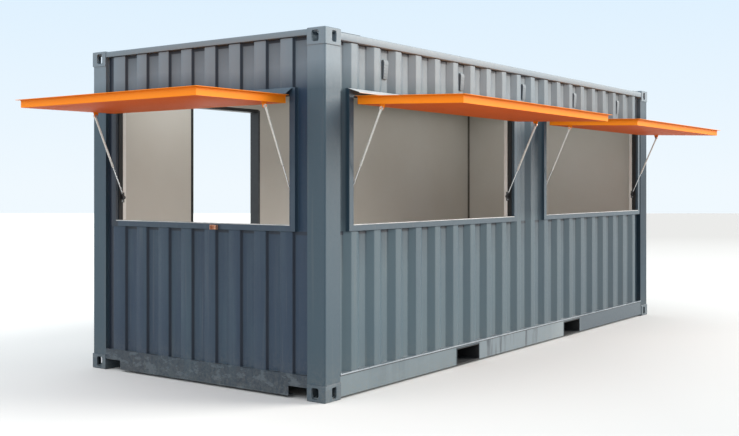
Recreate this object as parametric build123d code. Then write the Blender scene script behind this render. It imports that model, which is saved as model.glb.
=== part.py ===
from build123d import *
import math
import os

# Shipping container cabin, millimetres.
# X runs along the length, from the blind end with its hatch (-X) to the door end (+X).
# The long side with two hatches faces -Y, the long side with the doorway faces +Y.
# Z = 0 is the ground under the four bottom corner castings.

# Overall size of the container
length = 6058.0
width = 2438.0
height = 2591.0

# Corner castings
casting_x = 178.0
casting_y = 162.0
casting_z = 118.0
casting_slot_wall = 28.5
casting_side_wall = 16.0
slot_length = 124.0
slot_width = 63.5
slot_inset_x = 102.5
slot_inset_y = 89.5
casting_edge = 5.0
end_hole_height = 79.5
end_hole_width = 63.5
side_hole_height = 79.5
side_hole_width = 51.0

# Corner posts: pressed sections, set a little behind the faces of the castings
face_setback = 5.0
post_wall = 6.0
post_radius = 14.0
door_post_extra = 26.0

# Bottom and top rails, sills and headers
rail_bottom_z = 18.0
rail_top_z = 178.0
rail_top_lip = 23.0
bottom_rail_flange = 58.0
bottom_rail_wall = 4.5
roof_edge_drop = 21.0
top_rail_height = 56.0
top_rail_depth = 60.0
top_rail_step = 20.0
header_drop = 6.0
header_height = 45.0
header_depth = 60.0
header_step = 33.0
wall_setback = 10.0
sill_top_z = 172.0
sill_depth = 60.0
sill_wall = 5.0
sill_notch_z = 88.0
sill_centre_half = 884.0

# Floor
floor_board_thickness = 28.0
floor_board_count = 5
floor_board_gap = 3.0
cross_member_height = 120.0
cross_member_width = 45.0
cross_member_wall = 4.0
cross_member_inset = 329.0
cross_member_count = 19
fork_pocket_width = 360.0
fork_pocket_spacing = 2050.0
fork_pocket_mid_x = -62.0
fork_pocket_plate = 6.0
fork_pocket_strap = 220.0

# Corrugated sheets
sheet = 2.0
side_wave_crest = 72.0
side_wave_slope = 68.0
side_wave_recess = 72.0
side_wave_depth = 36.0
side_wave_crest_x = 128.0
end_wave_crest = 110.0
end_wave_slope = 18.0
end_wave_recess = 104.0
end_wave_depth = 45.0
end_wave_crest_y = -107.0
end_margin_width = 219.0
end_margin_recess = 62.0
roof_wave_crest = 91.0
roof_wave_slope = 13.5
roof_wave_recess = 91.0
roof_wave_depth = 20.0
door_wave_crest = 110.0
door_wave_slope = 30.0
door_wave_recess = 80.0
door_wave_depth = 26.0

# Lining: the room's inner faces lie this far behind the container's outer size
lining_reach = 110.0
door_end_lining_reach = 124.0
lining_board = 35.0
ceiling_drop = 155.0

# Hatches, measured over their box-section frames from the container's ends, sides and top
first_hatch_inset = 284.0
first_hatch_to_x = -208.0
second_hatch_from_x = 346.0
second_hatch_inset = 230.0
end_hatch_front_inset = 274.0
end_hatch_back_inset = 234.0
hatch_drop = 406.0
hatch_frame_height = 1012.0
hatch_frame_face = 50.0
hatch_sill_face = 40.0
seal_thickness = 4.0
seal_setback = 30.0

# Flaps: a tray with a flush underside, and an outer skin that overhangs it
hinge_below_head = 5.0
hinge_out = 14.0
closed_angle = 90.0
side_flap_droop = 2.0
end_flap_droop = 0.4
flap_bottom_gap = 32.0
flap_depth = 55.0
flap_sheet = 3.0
flap_flange = 40.0
flap_side_gap = 10.0
flap_top_gap = 14.0
flap_skin_overhang = 28.0
flap_rib_count = 3
knuckle_radius = 9.0
knuckle_length = 60.0
knuckle_gap = 1.0
hinge_pin_radius = 5.0
hinge_pin_clearance = 0.4
hinge_leaf = 3.0
hinge_inset = 260.0

# Gas struts: a tube on the flap's lug, a rod down to the jamb's bracket
strut_from_jamb = 22.0
strut_lug_along = 215.0
strut_lug_below = 85.0
strut_foot_in = 69.0
strut_foot_below_hinge = 730.0
strut_tube_radius = 8.0
strut_tube_length = 440.0
strut_neck_radius = 5.0
strut_neck_length = 24.0
strut_rod_radius = 4.0
strut_clearance = 0.4
strut_eye_radius = 13.0
strut_eye_width = 14.0
strut_pin_radius = 5.0
strut_rod_in_tube = 60.0
strut_bore_spare = 12.0
lug_plate = 8.0
lug_width = 50.0
lug_side_gap = 1.0
bracket_plate = 4.0
bracket_width = 34.0
bracket_height = 80.0

# Rain flashing over each hatch
flashing_reach = 67.0
flashing_fall = 43.0
flashing_overhang = 15.0
end_flashing_overhang = -25.0
flashing_sheet = 3.0
flashing_flange = 16.0

# Latch keeper on the end hatch's sill
keeper_below_sill = 9.0
keeper_y = -172.0
keeper_width = 60.0
keeper_height = 34.0
keeper_depth = 26.0

# Doorway in the back wall and its leaf, folded back against the wall
doorway_inset = 1041.0
doorway_width = 871.0
doorway_head_drop = 388.0
doorway_frame_face = 22.0
doorway_threshold = 6.0
leaf_thickness = 44.0
leaf_stand_off = 17.0
leaf_margin = 8.0
leaf_bottom_gap = 10.0
leaf_knuckle_length = 90.0
leaf_knuckle_inset = 220.0
leaf_handle_z = 1050.0
leaf_handle_inset = 70.0
leaf_handle_length = 130.0
leaf_handle_radius = 9.0
leaf_handle_stand_off = 45.0

# Cargo doors at the far end, closed and fixed
cargo_door_frame = 100.0
cargo_door_thickness = 36.0
cargo_door_gap = 10.0
cargo_door_side_gap = 5.0
cargo_door_setback = 45.0
cargo_hinge_count = 4
cargo_hinge_inset = 200.0
cargo_hinge_blade = 8.0
cargo_hinge_length = 190.0
cargo_hinge_height = 90.0
cargo_hinge_radius = 12.0
locking_bar_radius = 15.0
locking_bar_stand_off = 5.0
locking_bar_inset = 230.0
locking_bearing_inset = 90.0
locking_bearing_width = 60.0
locking_bearing_height = 50.0
locking_bearing_wall = 4.0
locking_handle_z = 1150.0
locking_handle_length = 420.0
locking_handle_height = 30.0
locking_handle_thickness = 6.0

# Vents high on the hatch side: hoods open at the bottom, one in every fourth recess
vent_width = 58.0
vent_height = 122.0
vent_drop = 164.0
vent_slant = 14.0
vent_wall = 2.5
vent_count = 5
recess_count_per_vent = 4

half_length = length / 2
half_width = width / 2
side_face = half_width - face_setback
end_face = half_length - face_setback
slot_spacing_x = length - 2 * slot_inset_x
slot_spacing_y = width - 2 * slot_inset_y
post_top_z = height - casting_z
roof_edge_z = height - roof_edge_drop
top_rail_face_z = roof_edge_z - top_rail_height
top_rail_z = top_rail_face_z - top_rail_step
header_top_z = height - header_drop
header_face_z = header_top_z - header_height
header_z = header_face_z - header_step
blind_post_edge = -half_length + casting_x
door_post_edge = half_length - casting_x - door_post_extra
post_edge_y = half_width - casting_y
floor_underside_z = rail_top_z - floor_board_thickness
room_side_y = half_width - lining_reach
room_blind_x = -half_length + lining_reach
room_door_x = half_length - door_end_lining_reach
lining_back_y = room_side_y + lining_board
lining_back_blind_x = room_blind_x - lining_board
lining_back_door_x = room_door_x + lining_board
ceiling_underside_z = height - ceiling_drop
first_hatch_from_x = -half_length + first_hatch_inset
second_hatch_to_x = half_length - second_hatch_inset
end_hatch_from_y = -half_width + end_hatch_front_inset
end_hatch_to_y = half_width - end_hatch_back_inset
hatch_frame_top_z = height - hatch_drop
hatch_frame_bottom_z = hatch_frame_top_z - hatch_frame_height
opening_bottom_z = hatch_frame_bottom_z + hatch_sill_face
opening_top_z = hatch_frame_top_z - hatch_frame_face
hinge_z = opening_top_z - hinge_below_head
flap_length = hinge_z - opening_bottom_z - flap_bottom_gap
strut_foot_z = hinge_z - strut_foot_below_hinge
doorway_from_x = -half_length + doorway_inset
doorway_to_x = doorway_from_x + doorway_width
doorway_head_z = height - doorway_head_drop
pocket_centres = [fork_pocket_mid_x + side * fork_pocket_spacing / 2 for side in (-1, 1)]


def save(name, *solids):
    """Writes the solids of one named piece."""
    shape = solids[0] if len(solids) == 1 else Compound(children=list(solids))
    export_step(shape, os.path.join("parts", name + ".step"))


def block(x0, x1, y0, y1, z0, z1):
    """A box between two corners."""
    middle = ((x0 + x1) / 2, (y0 + y1) / 2, (z0 + z1) / 2)
    return Pos(*middle) * Box(abs(x1 - x0), abs(y1 - y0), abs(z1 - z0))


def upright(points, z0, z1):
    """An outline in plan, pushed up from one height to another."""
    return extrude(Plane.XY.offset(z0) * make_face(Polyline(*points, close=True)), z1 - z0)


def lengthwise(points, x0, x1):
    """An outline of (y, z) points, pushed along X."""
    return extrude(Plane.YZ.offset(x0) * make_face(Polyline(*points, close=True)), x1 - x0)


def crosswise(points, y0, y1):
    """An outline of (x, z) points, pushed along Y."""
    return extrude(Plane.XZ.offset(-y1) * make_face(Polyline(*points, close=True)), y1 - y0)


def rod_along_x(radius, x0, x1, y, z):
    """A round bar parallel to X."""
    return Pos((x0 + x1) / 2, y, z) * Rot(0, 90, 0) * Cylinder(radius, abs(x1 - x0))


def one_solid(shape):
    """The single solid of a boolean's result."""
    return shape.solids()[0]


# Corrugated sheets


def heading(start, end):
    """The direction from one point to the next, in radians."""
    return math.atan2(end[1] - start[1], end[0] - start[0])


def wave_line(start, end, middle_crest, crest, slope, recess, depth):
    """The bend points of a trapezoidal wave between two places, as (along, depth)."""
    pitch = crest + recess + 2 * slope
    bends = []
    number = math.floor((start - middle_crest) / pitch) - 1
    while middle_crest + (number - 1) * pitch < end:
        middle = middle_crest + number * pitch
        bends.append((middle - crest / 2 - slope, depth))
        bends.append((middle - crest / 2, 0.0))
        bends.append((middle + crest / 2, 0.0))
        bends.append((middle + crest / 2 + slope, depth))
        number += 1
    return cut_line(bends, start, end)


def depth_on(line, along):
    """How deep a bent line lies at one place."""
    for before, after in zip(line, line[1:]):
        if before[0] <= along <= after[0]:
            share = (along - before[0]) / (after[0] - before[0])
            return before[1] + share * (after[1] - before[1])
    return line[-1][1]


def cut_line(line, start, end):
    """The stretch of a bent line between two places."""
    kept = [point for point in line if start + 1 < point[0] < end - 1]
    return [(start, depth_on(line, start))] + kept + [(end, depth_on(line, end))]


def sheet_outline(line, thickness):
    """The closed outline of a bent sheet: its outer line, and the line offset with mitres."""
    inner = []
    for number, point in enumerate(line):
        into = heading(line[number - 1], point) if number else heading(point, line[1])
        out = heading(point, line[number + 1]) if number < len(line) - 1 else into
        half_turn = (out - into) / 2
        middle = into + half_turn
        if number in (0, len(line) - 1):
            inner.append((point[0], point[1] + thickness / math.cos(middle)))
        else:
            reach = thickness / math.cos(half_turn)
            inner.append((point[0] - math.sin(middle) * reach, point[1] + math.cos(middle) * reach))
    return list(line) + inner[::-1]


def side_sheet(line, face, z0, z1):
    """A corrugated sheet of a long side, whose crests lie a little behind the rails' face."""
    inwards = -1 if face > 0 else 1
    crest_y = face + inwards * wall_setback
    return upright([(x, crest_y + inwards * deep) for x, deep in sheet_outline(line, sheet)], z0, z1)


def end_sheet(line, z0, z1):
    """A corrugated sheet of the blind end."""
    crest_x = -end_face + wall_setback
    return upright([(crest_x + deep, y) for y, deep in sheet_outline(line, sheet)], z0, z1)


side_line = wave_line(blind_post_edge, door_post_edge, side_wave_crest_x, side_wave_crest,
                      side_wave_slope, side_wave_recess, side_wave_depth)
end_line = wave_line(-post_edge_y, post_edge_y - end_margin_width, end_wave_crest_y, end_wave_crest,
                     end_wave_slope, end_wave_recess, end_wave_depth)
end_line += [(post_edge_y - end_margin_recess, 0.0),
             (post_edge_y - end_margin_recess + end_wave_slope, end_wave_depth),
             (post_edge_y, end_wave_depth)]
roof_half = half_length - casting_x
roof_half_pitch = (roof_wave_crest + roof_wave_recess) / 2 + roof_wave_slope
roof_line = wave_line(-roof_half, roof_half, roof_half_pitch, roof_wave_crest,
                      roof_wave_slope, roof_wave_recess, roof_wave_depth)


# Container frame


def stadium(long_side, short_side, plane, at, depth):
    """A slot with round ends, pushed both ways through a wall."""
    return extrude(plane * Pos(*at) * SlotOverall(long_side, short_side), depth, both=True)


def bottom_casting():
    """The casting at the (-X, -Y) corner, with its slot below and two side holes."""
    x0 = -half_length
    y0 = -half_width
    solid = block(x0, x0 + casting_x, y0, y0 + casting_y, 0, casting_z)
    outer = solid.edges().filter_by(Axis.Z).sort_by(Axis((0, 0, 0), (1, 1, 0)))[:1]
    outer += solid.edges().group_by(Axis.Z)[0]
    solid = chamfer(outer, casting_edge)
    cavity = block(x0 + casting_side_wall, x0 + casting_x - casting_side_wall,
                   y0 + casting_side_wall, y0 + casting_y - casting_side_wall,
                   casting_slot_wall, casting_z - casting_side_wall)
    slot_at = (-slot_spacing_x / 2, -slot_spacing_y / 2)
    slot = stadium(slot_length, slot_width, Plane.XY, slot_at, casting_slot_wall + 1)
    hole_z = casting_z / 2
    end_hole = block(x0 - 1, x0 + casting_side_wall + 1,
                     slot_at[1] - end_hole_width / 2, slot_at[1] + end_hole_width / 2,
                     hole_z - end_hole_height / 2, hole_z + end_hole_height / 2)
    end_hole = fillet(end_hole.edges().filter_by(Axis.X), end_hole_width / 4)
    side_hole = block(slot_at[0] - side_hole_width / 2, slot_at[0] + side_hole_width / 2,
                      y0 - 1, y0 + casting_side_wall + 1,
                      hole_z - side_hole_height / 2, hole_z + side_hole_height / 2)
    side_hole = fillet(side_hole.edges().filter_by(Axis.Y), side_hole_width / 4)
    return one_solid(solid - cavity - slot - end_hole - side_hole)


def four_corners(shape):
    """A piece of the (-X, -Y) corner, repeated at all four."""
    across = mirror(shape, Plane.XZ)
    return [shape, across, mirror(shape, Plane.YZ), mirror(across, Plane.YZ)]


def castings():
    """Bottom castings, and the same ones turned over at the top."""
    corner = bottom_casting()
    save("bottom_corner_castings", *four_corners(corner))
    top = Pos(0, 0, height) * mirror(corner, Plane.XY)
    save("top_corner_castings", *four_corners(top))


def post(edge_x, back_x):
    """A hollow L-shaped post at the (-X, -Y) corner: one leg along each wall."""
    x0 = -end_face
    y0 = -side_face
    wall = post_wall
    outer = [(x0, y0), (edge_x, y0), (edge_x, -lining_back_y), (back_x, -lining_back_y),
             (back_x, -post_edge_y), (x0, -post_edge_y)]
    inner = [(x0 + wall, y0 + wall), (edge_x - wall, y0 + wall),
             (edge_x - wall, -lining_back_y - wall), (back_x - wall, -lining_back_y - wall),
             (back_x - wall, -post_edge_y - wall), (x0 + wall, -post_edge_y - wall)]
    solid = upright(outer, casting_z, post_top_z)
    corner = solid.edges().filter_by(Axis.Z).sort_by(Axis((0, 0, 0), (1, 1, 0)))[:1]
    return one_solid(fillet(corner, post_radius) - upright(inner, casting_z, post_top_z))


def posts():
    blind = post(blind_post_edge, lining_back_blind_x)
    save("blind_end_posts", blind, mirror(blind, Plane.XZ))
    door = mirror(post(-door_post_edge, -lining_back_door_x), Plane.YZ)
    save("door_end_posts", door, mirror(door, Plane.XZ))


def bottom_rails():
    """A channel along each long side, open inwards, cut away at the fork pockets."""
    end_x = half_length - casting_x
    profile = [(-side_face, rail_bottom_z), (-side_face + bottom_rail_flange, rail_bottom_z),
               (-side_face + bottom_rail_flange, rail_bottom_z + bottom_rail_wall),
               (-side_face + bottom_rail_wall, rail_bottom_z + bottom_rail_wall),
               (-side_face + bottom_rail_wall, rail_top_z - bottom_rail_wall),
               (-side_face + bottom_rail_flange, rail_top_z - bottom_rail_wall),
               (-side_face + bottom_rail_flange, rail_top_z), (-side_face, rail_top_z)]
    rail = lengthwise(profile, -end_x, end_x)
    half = fork_pocket_width / 2 + fork_pocket_plate
    for centre in pocket_centres:
        rail -= block(centre - half, centre + half, -half_width, -room_side_y,
                      rail_bottom_z - 1, rail_top_z - rail_top_lip)
    rail -= block(door_post_edge, end_x, -half_width, -room_side_y, casting_z, rail_top_z)
    rail = one_solid(rail)
    save("bottom_side_rails", rail, mirror(rail, Plane.XZ))


def stepped(face, depth, top, face_low, low):
    """The outline of a top rail: its lower part is set back, flush with the wall's crests."""
    return [(face, top), (face, face_low), (face + wall_setback, face_low),
            (face + wall_setback, low), (face + depth, low), (face + depth, top)]


def top_rails():
    """Two rails, each with a short drop beside the head of the wider door post."""
    end_x = half_length - casting_x
    rail = lengthwise(stepped(-side_face, top_rail_depth, roof_edge_z, top_rail_face_z, top_rail_z),
                      -end_x, end_x)
    rail += block(door_post_edge, end_x, -side_face + wall_setback, -side_face + top_rail_depth,
                  post_top_z, top_rail_z)
    rail = one_solid(rail)
    save("top_side_rails", rail, mirror(rail, Plane.XZ))


def sills():
    """Channels across the ends; the blind end's is cut back beside its castings."""
    x0 = -end_face
    inner_y = half_width - casting_y
    web = [(-inner_y, sill_notch_z), (-sill_centre_half, sill_notch_z),
           (-sill_centre_half, rail_bottom_z), (sill_centre_half, rail_bottom_z),
           (sill_centre_half, sill_notch_z), (inner_y, sill_notch_z),
           (inner_y, sill_top_z), (-inner_y, sill_top_z)]
    sill = lengthwise(web, x0, x0 + sill_wall)
    sill += block(x0, x0 + sill_depth, -inner_y, inner_y, sill_top_z - sill_wall, sill_top_z)
    sill += block(x0, x0 + sill_depth, -sill_centre_half, sill_centre_half,
                  rail_bottom_z, rail_bottom_z + sill_wall)
    save("blind_end_sill", one_solid(sill))
    channel = block(end_face - sill_depth, end_face, -inner_y, inner_y, rail_bottom_z, sill_top_z)
    channel -= block(end_face - sill_depth, end_face - sill_wall, -inner_y, inner_y,
                     rail_bottom_z + sill_wall, sill_top_z - sill_wall)
    save("door_end_sill", one_solid(channel))


def headers():
    profile = stepped(-end_face, header_depth, header_top_z, header_face_z, header_z)
    blind = crosswise(profile, -post_edge_y, post_edge_y)
    save("end_headers", blind, mirror(blind, Plane.YZ))


# Floor


def floor():
    """Cross members between the rails, pockets for a fork lift, and boards on top."""
    reach = side_face - bottom_rail_wall
    top = floor_underside_z
    low = top - cross_member_height
    members = []
    pitch = (length - 2 * cross_member_inset) / (cross_member_count - 1)
    for number in range(cross_member_count):
        x = -half_length + cross_member_inset + number * pitch
        nearest = min(abs(x - centre) for centre in pocket_centres)
        if nearest < fork_pocket_width / 2 + fork_pocket_plate + cross_member_width:
            continue
        profile = [(x, low), (x + cross_member_width, low),
                   (x + cross_member_width, low + cross_member_wall),
                   (x + cross_member_wall, low + cross_member_wall),
                   (x + cross_member_wall, top - cross_member_wall),
                   (x + cross_member_width, top - cross_member_wall),
                   (x + cross_member_width, top), (x, top)]
        members.append(crosswise(profile, -reach, reach))
    save("floor_cross_members", *members)
    save("fork_pockets", *[fork_pocket(centre) for centre in pocket_centres])
    start = lining_back_blind_x
    size = (lining_back_door_x - start + floor_board_gap) / floor_board_count
    boards = [block(start + number * size, start + (number + 1) * size - floor_board_gap,
                    -lining_back_y, lining_back_y, top, rail_top_z)
              for number in range(floor_board_count)]
    save("floor_boards", *boards)


def fork_pocket(centre):
    """Side plates and a top plate right through the width, and a strap under each end."""
    half = fork_pocket_width / 2
    outer = half + fork_pocket_plate
    top = floor_underside_z
    pocket = block(centre - outer, centre + outer, -side_face, side_face, rail_bottom_z, top)
    pocket -= block(centre - half, centre + half, -side_face, side_face,
                    rail_bottom_z + fork_pocket_plate, top - fork_pocket_plate)
    between = side_face - fork_pocket_strap
    pocket -= block(centre - half, centre + half, -between, between,
                    rail_bottom_z, rail_bottom_z + fork_pocket_plate)
    return one_solid(pocket)


def roof():
    """One corrugated sheet whose waves run across the width, with a flat plate at each end."""
    side = side_face - top_rail_depth
    points = [(x, roof_edge_z - deep) for x, deep in sheet_outline(roof_line, sheet)]
    panel = crosswise(points, -side, side)
    for x0, x1 in ((-end_face + header_depth, -roof_half), (roof_half, end_face - header_depth)):
        panel += block(x0, x1, -post_edge_y, post_edge_y, roof_edge_z - sheet, roof_edge_z)
    save("roof_panel", one_solid(panel))


# Walls


def hatch_side_walls():
    """The corrugated side with two hatches: under and over them, and the piers between."""
    low = side_sheet(side_line, -side_face, rail_top_z, hatch_frame_bottom_z)
    high = side_sheet(side_line, -side_face, hatch_frame_top_z, top_rail_z)
    save("side_wall_panels", low, high)
    spans = [(blind_post_edge, first_hatch_from_x), (first_hatch_to_x, second_hatch_from_x),
             (second_hatch_to_x, door_post_edge)]
    piers = [side_sheet(cut_line(side_line, a, b), -side_face, hatch_frame_bottom_z,
                        hatch_frame_top_z) for a, b in spans]
    save("side_wall_piers", *piers)


def blind_end_wall():
    low = end_sheet(end_line, sill_top_z, hatch_frame_bottom_z)
    high = end_sheet(end_line, hatch_frame_top_z, header_z)
    save("end_wall_panels", low, high)
    piers = [end_sheet(cut_line(end_line, a, b), hatch_frame_bottom_z, hatch_frame_top_z)
             for a, b in ((-post_edge_y, end_hatch_from_y), (end_hatch_to_y, post_edge_y))]
    save("end_wall_piers", *piers)


def back_wall():
    """The corrugated back: beside the doorway, and over it."""
    start = doorway_from_x - doorway_frame_face
    end = doorway_to_x + doorway_frame_face
    head = doorway_head_z + doorway_frame_face
    beside = [side_sheet(cut_line(side_line, a, b), side_face, rail_top_z, top_rail_z)
              for a, b in ((blind_post_edge, start), (end, door_post_edge))]
    save("back_wall_panels", *beside)
    over = side_sheet(cut_line(side_line, start, end), side_face, head, top_rail_z)
    save("back_wall_panel_over_door", over)


def cargo_doors():
    """Two closed leaves, each a frame round a corrugated sheet, and their locking bars."""
    x1 = end_face - cargo_door_setback
    x0 = x1 - cargo_door_thickness
    y0 = cargo_door_gap / 2
    y1 = post_edge_y - cargo_door_side_gap
    z0 = sill_top_z
    z1 = header_z
    leaf = block(x0, x1, y0, y1, z0, z1)
    leaf -= block(x0, x1, y0 + cargo_door_frame, y1 - cargo_door_frame,
                  z0 + cargo_door_frame, z1 - cargo_door_frame)
    line = wave_line(y0 + cargo_door_frame, y1 - cargo_door_frame, (y0 + y1) / 2, door_wave_crest,
                     door_wave_slope, door_wave_recess, door_wave_depth)
    infill = upright([(x1 - deep, y) for y, deep in sheet_outline(line, sheet)],
                     z0 + cargo_door_frame, z1 - cargo_door_frame)
    leaf += infill
    step = (z1 - z0 - 2 * cargo_hinge_inset) / (cargo_hinge_count - 1)
    for number in range(cargo_hinge_count):
        middle = z0 + cargo_hinge_inset + number * step
        low = middle - cargo_hinge_height / 2
        high = middle + cargo_hinge_height / 2
        leaf += block(x1, x1 + cargo_hinge_blade, y1 - cargo_hinge_length, y1, low, high)
        leaf += Pos(x1 + cargo_hinge_radius, y1 - cargo_hinge_radius, middle) * Cylinder(
            cargo_hinge_radius, cargo_hinge_height)
    leaf = one_solid(leaf)
    save("cargo_doors", leaf, mirror(leaf, Plane.XZ))
    inner = y0 + locking_bar_inset
    outer = y1 - locking_bar_inset
    save("cargo_door_locking_bars", locking_bar(x1, inner, 1), locking_bar(x1, outer, -1),
         locking_bar(x1, -inner, -1), locking_bar(x1, -outer, 1))


def locking_bar(face_x, y, handle_side):
    """A round bar in three bearings, with a flat handle across the leaf."""
    x = face_x + locking_bar_stand_off + locking_bar_radius
    bar = Pos(x, y, (sill_top_z + header_z) / 2) * Cylinder(locking_bar_radius,
                                                            header_z - sill_top_z)
    half = locking_bearing_width / 2
    front = x + locking_bar_radius + locking_bearing_wall
    places = (sill_top_z + locking_bearing_inset, (sill_top_z + header_z) / 2,
              header_z - locking_bearing_inset, locking_handle_z)
    for z in places:
        bar += block(face_x, front, y - half, y + half, z - locking_bearing_height / 2,
                     z + locking_bearing_height / 2)
    bar += block(front - locking_handle_thickness, front, y,
                 y + handle_side * locking_handle_length,
                 locking_handle_z - locking_handle_height / 2,
                 locking_handle_z + locking_handle_height / 2)
    return one_solid(bar)


# Lining


def linings():
    """Boards round the room, open at the hatches and at the doorway."""
    outer_y = lining_back_y
    x0 = lining_back_blind_x
    x1 = lining_back_door_x
    side = block(x0, x1, -outer_y, -room_side_y, rail_top_z, ceiling_underside_z)
    for a, b in ((first_hatch_from_x, first_hatch_to_x), (second_hatch_from_x, second_hatch_to_x)):
        side -= block(a + hatch_frame_face, b - hatch_frame_face, -outer_y, -room_side_y,
                      opening_bottom_z, opening_top_z)
    save("side_lining", one_solid(side))
    end = block(x0, room_blind_x, -room_side_y, room_side_y, rail_top_z, ceiling_underside_z)
    end -= block(x0, room_blind_x, end_hatch_from_y + hatch_frame_face,
                 end_hatch_to_y - hatch_frame_face, opening_bottom_z, opening_top_z)
    save("end_lining", one_solid(end))
    back = block(x0, x1, room_side_y, outer_y, rail_top_z, ceiling_underside_z)
    back -= block(doorway_from_x - doorway_frame_face, doorway_to_x + doorway_frame_face,
                  room_side_y, outer_y, rail_top_z, doorway_head_z + doorway_frame_face)
    save("back_lining", one_solid(back))
    save("door_end_lining", block(room_door_x, x1, -room_side_y, room_side_y,
                                  rail_top_z, ceiling_underside_z))
    save("ceiling_lining", block(x0, x1, -outer_y, outer_y, ceiling_underside_z,
                                 ceiling_underside_z + lining_board))


# Hatches: each is built as if it faced -Y, and the end hatch is turned to face -X


class Hatch:
    """Where one hatch is, how far its open flap droops, and where its struts then stand."""

    def __init__(self, name, start, end, half, droop, turn):
        self.name = name
        self.start = start
        self.end = end
        self.half = half
        self.droop = droop
        self.open_length, self.open_lean = strut_at(droop)
        self.closed_length, self.closed_lean = strut_at(closed_angle)
        self.stroke = self.open_length - self.closed_length
        self.face = half - face_setback
        self.left = start + hatch_frame_face
        self.right = end - hatch_frame_face
        self.back = half - lining_reach + lining_board
        self.hinge_y = -(self.face + hinge_out)
        self.foot_y = -(half - strut_foot_in)
        self.turn = turn

    def place(self, shape):
        return Rot(0, 0, -90) * shape if self.turn else shape

    def hinges(self):
        """The middle of each hinge along the flap."""
        return [self.left + hinge_inset, (self.left + self.right) / 2, self.right - hinge_inset]


def strut_at(angle):
    """A strut's length and its lean from upright, in degrees, with the flap this far down."""
    down = math.radians(angle)
    out = strut_lug_along * math.cos(down) - strut_lug_below * math.sin(down)
    up = -strut_lug_along * math.sin(down) - strut_lug_below * math.cos(down)
    out += hinge_out - face_setback + strut_foot_in
    up += hinge_z - strut_foot_z
    return math.hypot(out, up), math.degrees(math.atan2(out, up))


first_hatch = Hatch("first", first_hatch_from_x, first_hatch_to_x, half_width,
                    side_flap_droop, False)
second_hatch = Hatch("second", second_hatch_from_x, second_hatch_to_x, half_width,
                     side_flap_droop, False)
end_hatch = Hatch("end", -end_hatch_to_y, -end_hatch_from_y, half_length, end_flap_droop, True)
hatches = (first_hatch, second_hatch, end_hatch)


def hatch_frame(hatch):
    """The frame round an opening, with the fixed knuckles and pins of its flap's hinges."""
    y0 = -hatch.face
    frame = block(hatch.start, hatch.end, y0, -hatch.back, hatch_frame_bottom_z, hatch_frame_top_z)
    frame -= block(hatch.left, hatch.right, y0, -hatch.back, opening_bottom_z, opening_top_z)
    for x in hatch.hinges():
        inner = knuckle_length / 2 + knuckle_gap
        outer = inner + knuckle_length / 2
        frame += rod_along_x(hinge_pin_radius, x - outer, x + outer, hatch.hinge_y, hinge_z)
        for side in (-1, 1):
            frame += rod_along_x(knuckle_radius, x + side * inner, x + side * outer,
                                 hatch.hinge_y, hinge_z)
            frame += block(x + side * inner, x + side * outer, hatch.hinge_y, y0,
                           hinge_z + hinge_leaf, hinge_z + knuckle_length / 3)
    return hatch.place(one_solid(frame))


def hatch_seal(hatch):
    """A black rubber strip on all four reveals of an opening."""
    y0 = -hatch.face + seal_setback
    seal = block(hatch.left, hatch.right, y0, -hatch.back, opening_bottom_z, opening_top_z)
    seal -= block(hatch.left + seal_thickness, hatch.right - seal_thickness, y0, -hatch.back,
                  opening_bottom_z + seal_thickness, opening_top_z - seal_thickness)
    return hatch.place(one_solid(seal))


def rain_flashing(hatch):
    """A bent strip over a hatch: a flange on the frame's face, and a slope over the hinge."""
    y0 = -hatch.face
    edge = -(hatch.face + flashing_reach)
    top = hatch_frame_top_z
    edge_z = top - flashing_fall
    drop = flashing_sheet / math.cos(math.atan2(flashing_fall, flashing_reach))
    inner = y0 - flashing_sheet
    inner_z = top - drop - flashing_fall * flashing_sheet / flashing_reach
    points = [(y0, top), (edge, edge_z), (edge, edge_z - drop), (inner, inner_z),
              (inner, inner_z - flashing_flange), (y0, inner_z - flashing_flange)]
    over = end_flashing_overhang if hatch.turn else flashing_overhang
    return hatch.place(lengthwise(points, hatch.start - over, hatch.end + over))


def open_flap(hatch, shape):
    """Hangs a flap's piece, drawn flat with its hinge on the X axis, in the open pose."""
    return hatch.place(Pos(0, hatch.hinge_y, hinge_z) * Rot(hatch.droop, 0, 0) * shape)


def flap_frame(hatch):
    """A tray with its closed side down, ribs inside, hinge knuckles and two strut lugs."""
    x0 = hatch.left + flap_side_gap
    x1 = hatch.right - flap_side_gap
    y0 = -flap_length
    y1 = -flap_top_gap
    wall = flap_sheet
    tray = block(x0, x1, y0, y1, -flap_depth, 0)
    tray -= block(x0 + wall, x1 - wall, y0 + wall, y1 - wall, -flap_depth + wall, -wall)
    tray -= block(x0 + flap_flange, x1 - flap_flange, y0 + flap_flange, y1 - flap_flange, -wall, 0)
    for number in range(flap_rib_count):
        x = x0 + (number + 1) * (x1 - x0) / (flap_rib_count + 1)
        tray += block(x - wall, x + wall, y0 + wall, y1 - wall, -flap_depth + wall, -wall)
    for x in hatch.hinges():
        half = knuckle_length / 2
        tray += rod_along_x(knuckle_radius, x - half, x + half, 0, 0)
        tray += block(x - half, x + half, y1 - wall, 0, -hinge_leaf, 0)
        tray -= rod_along_x(hinge_pin_radius + hinge_pin_clearance, x - half, x + half, 0, 0)
    for jamb, side in ((hatch.left, 1), (hatch.right, -1)):
        tray += lug(jamb, side)
    return open_flap(hatch, one_solid(tray))


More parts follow.
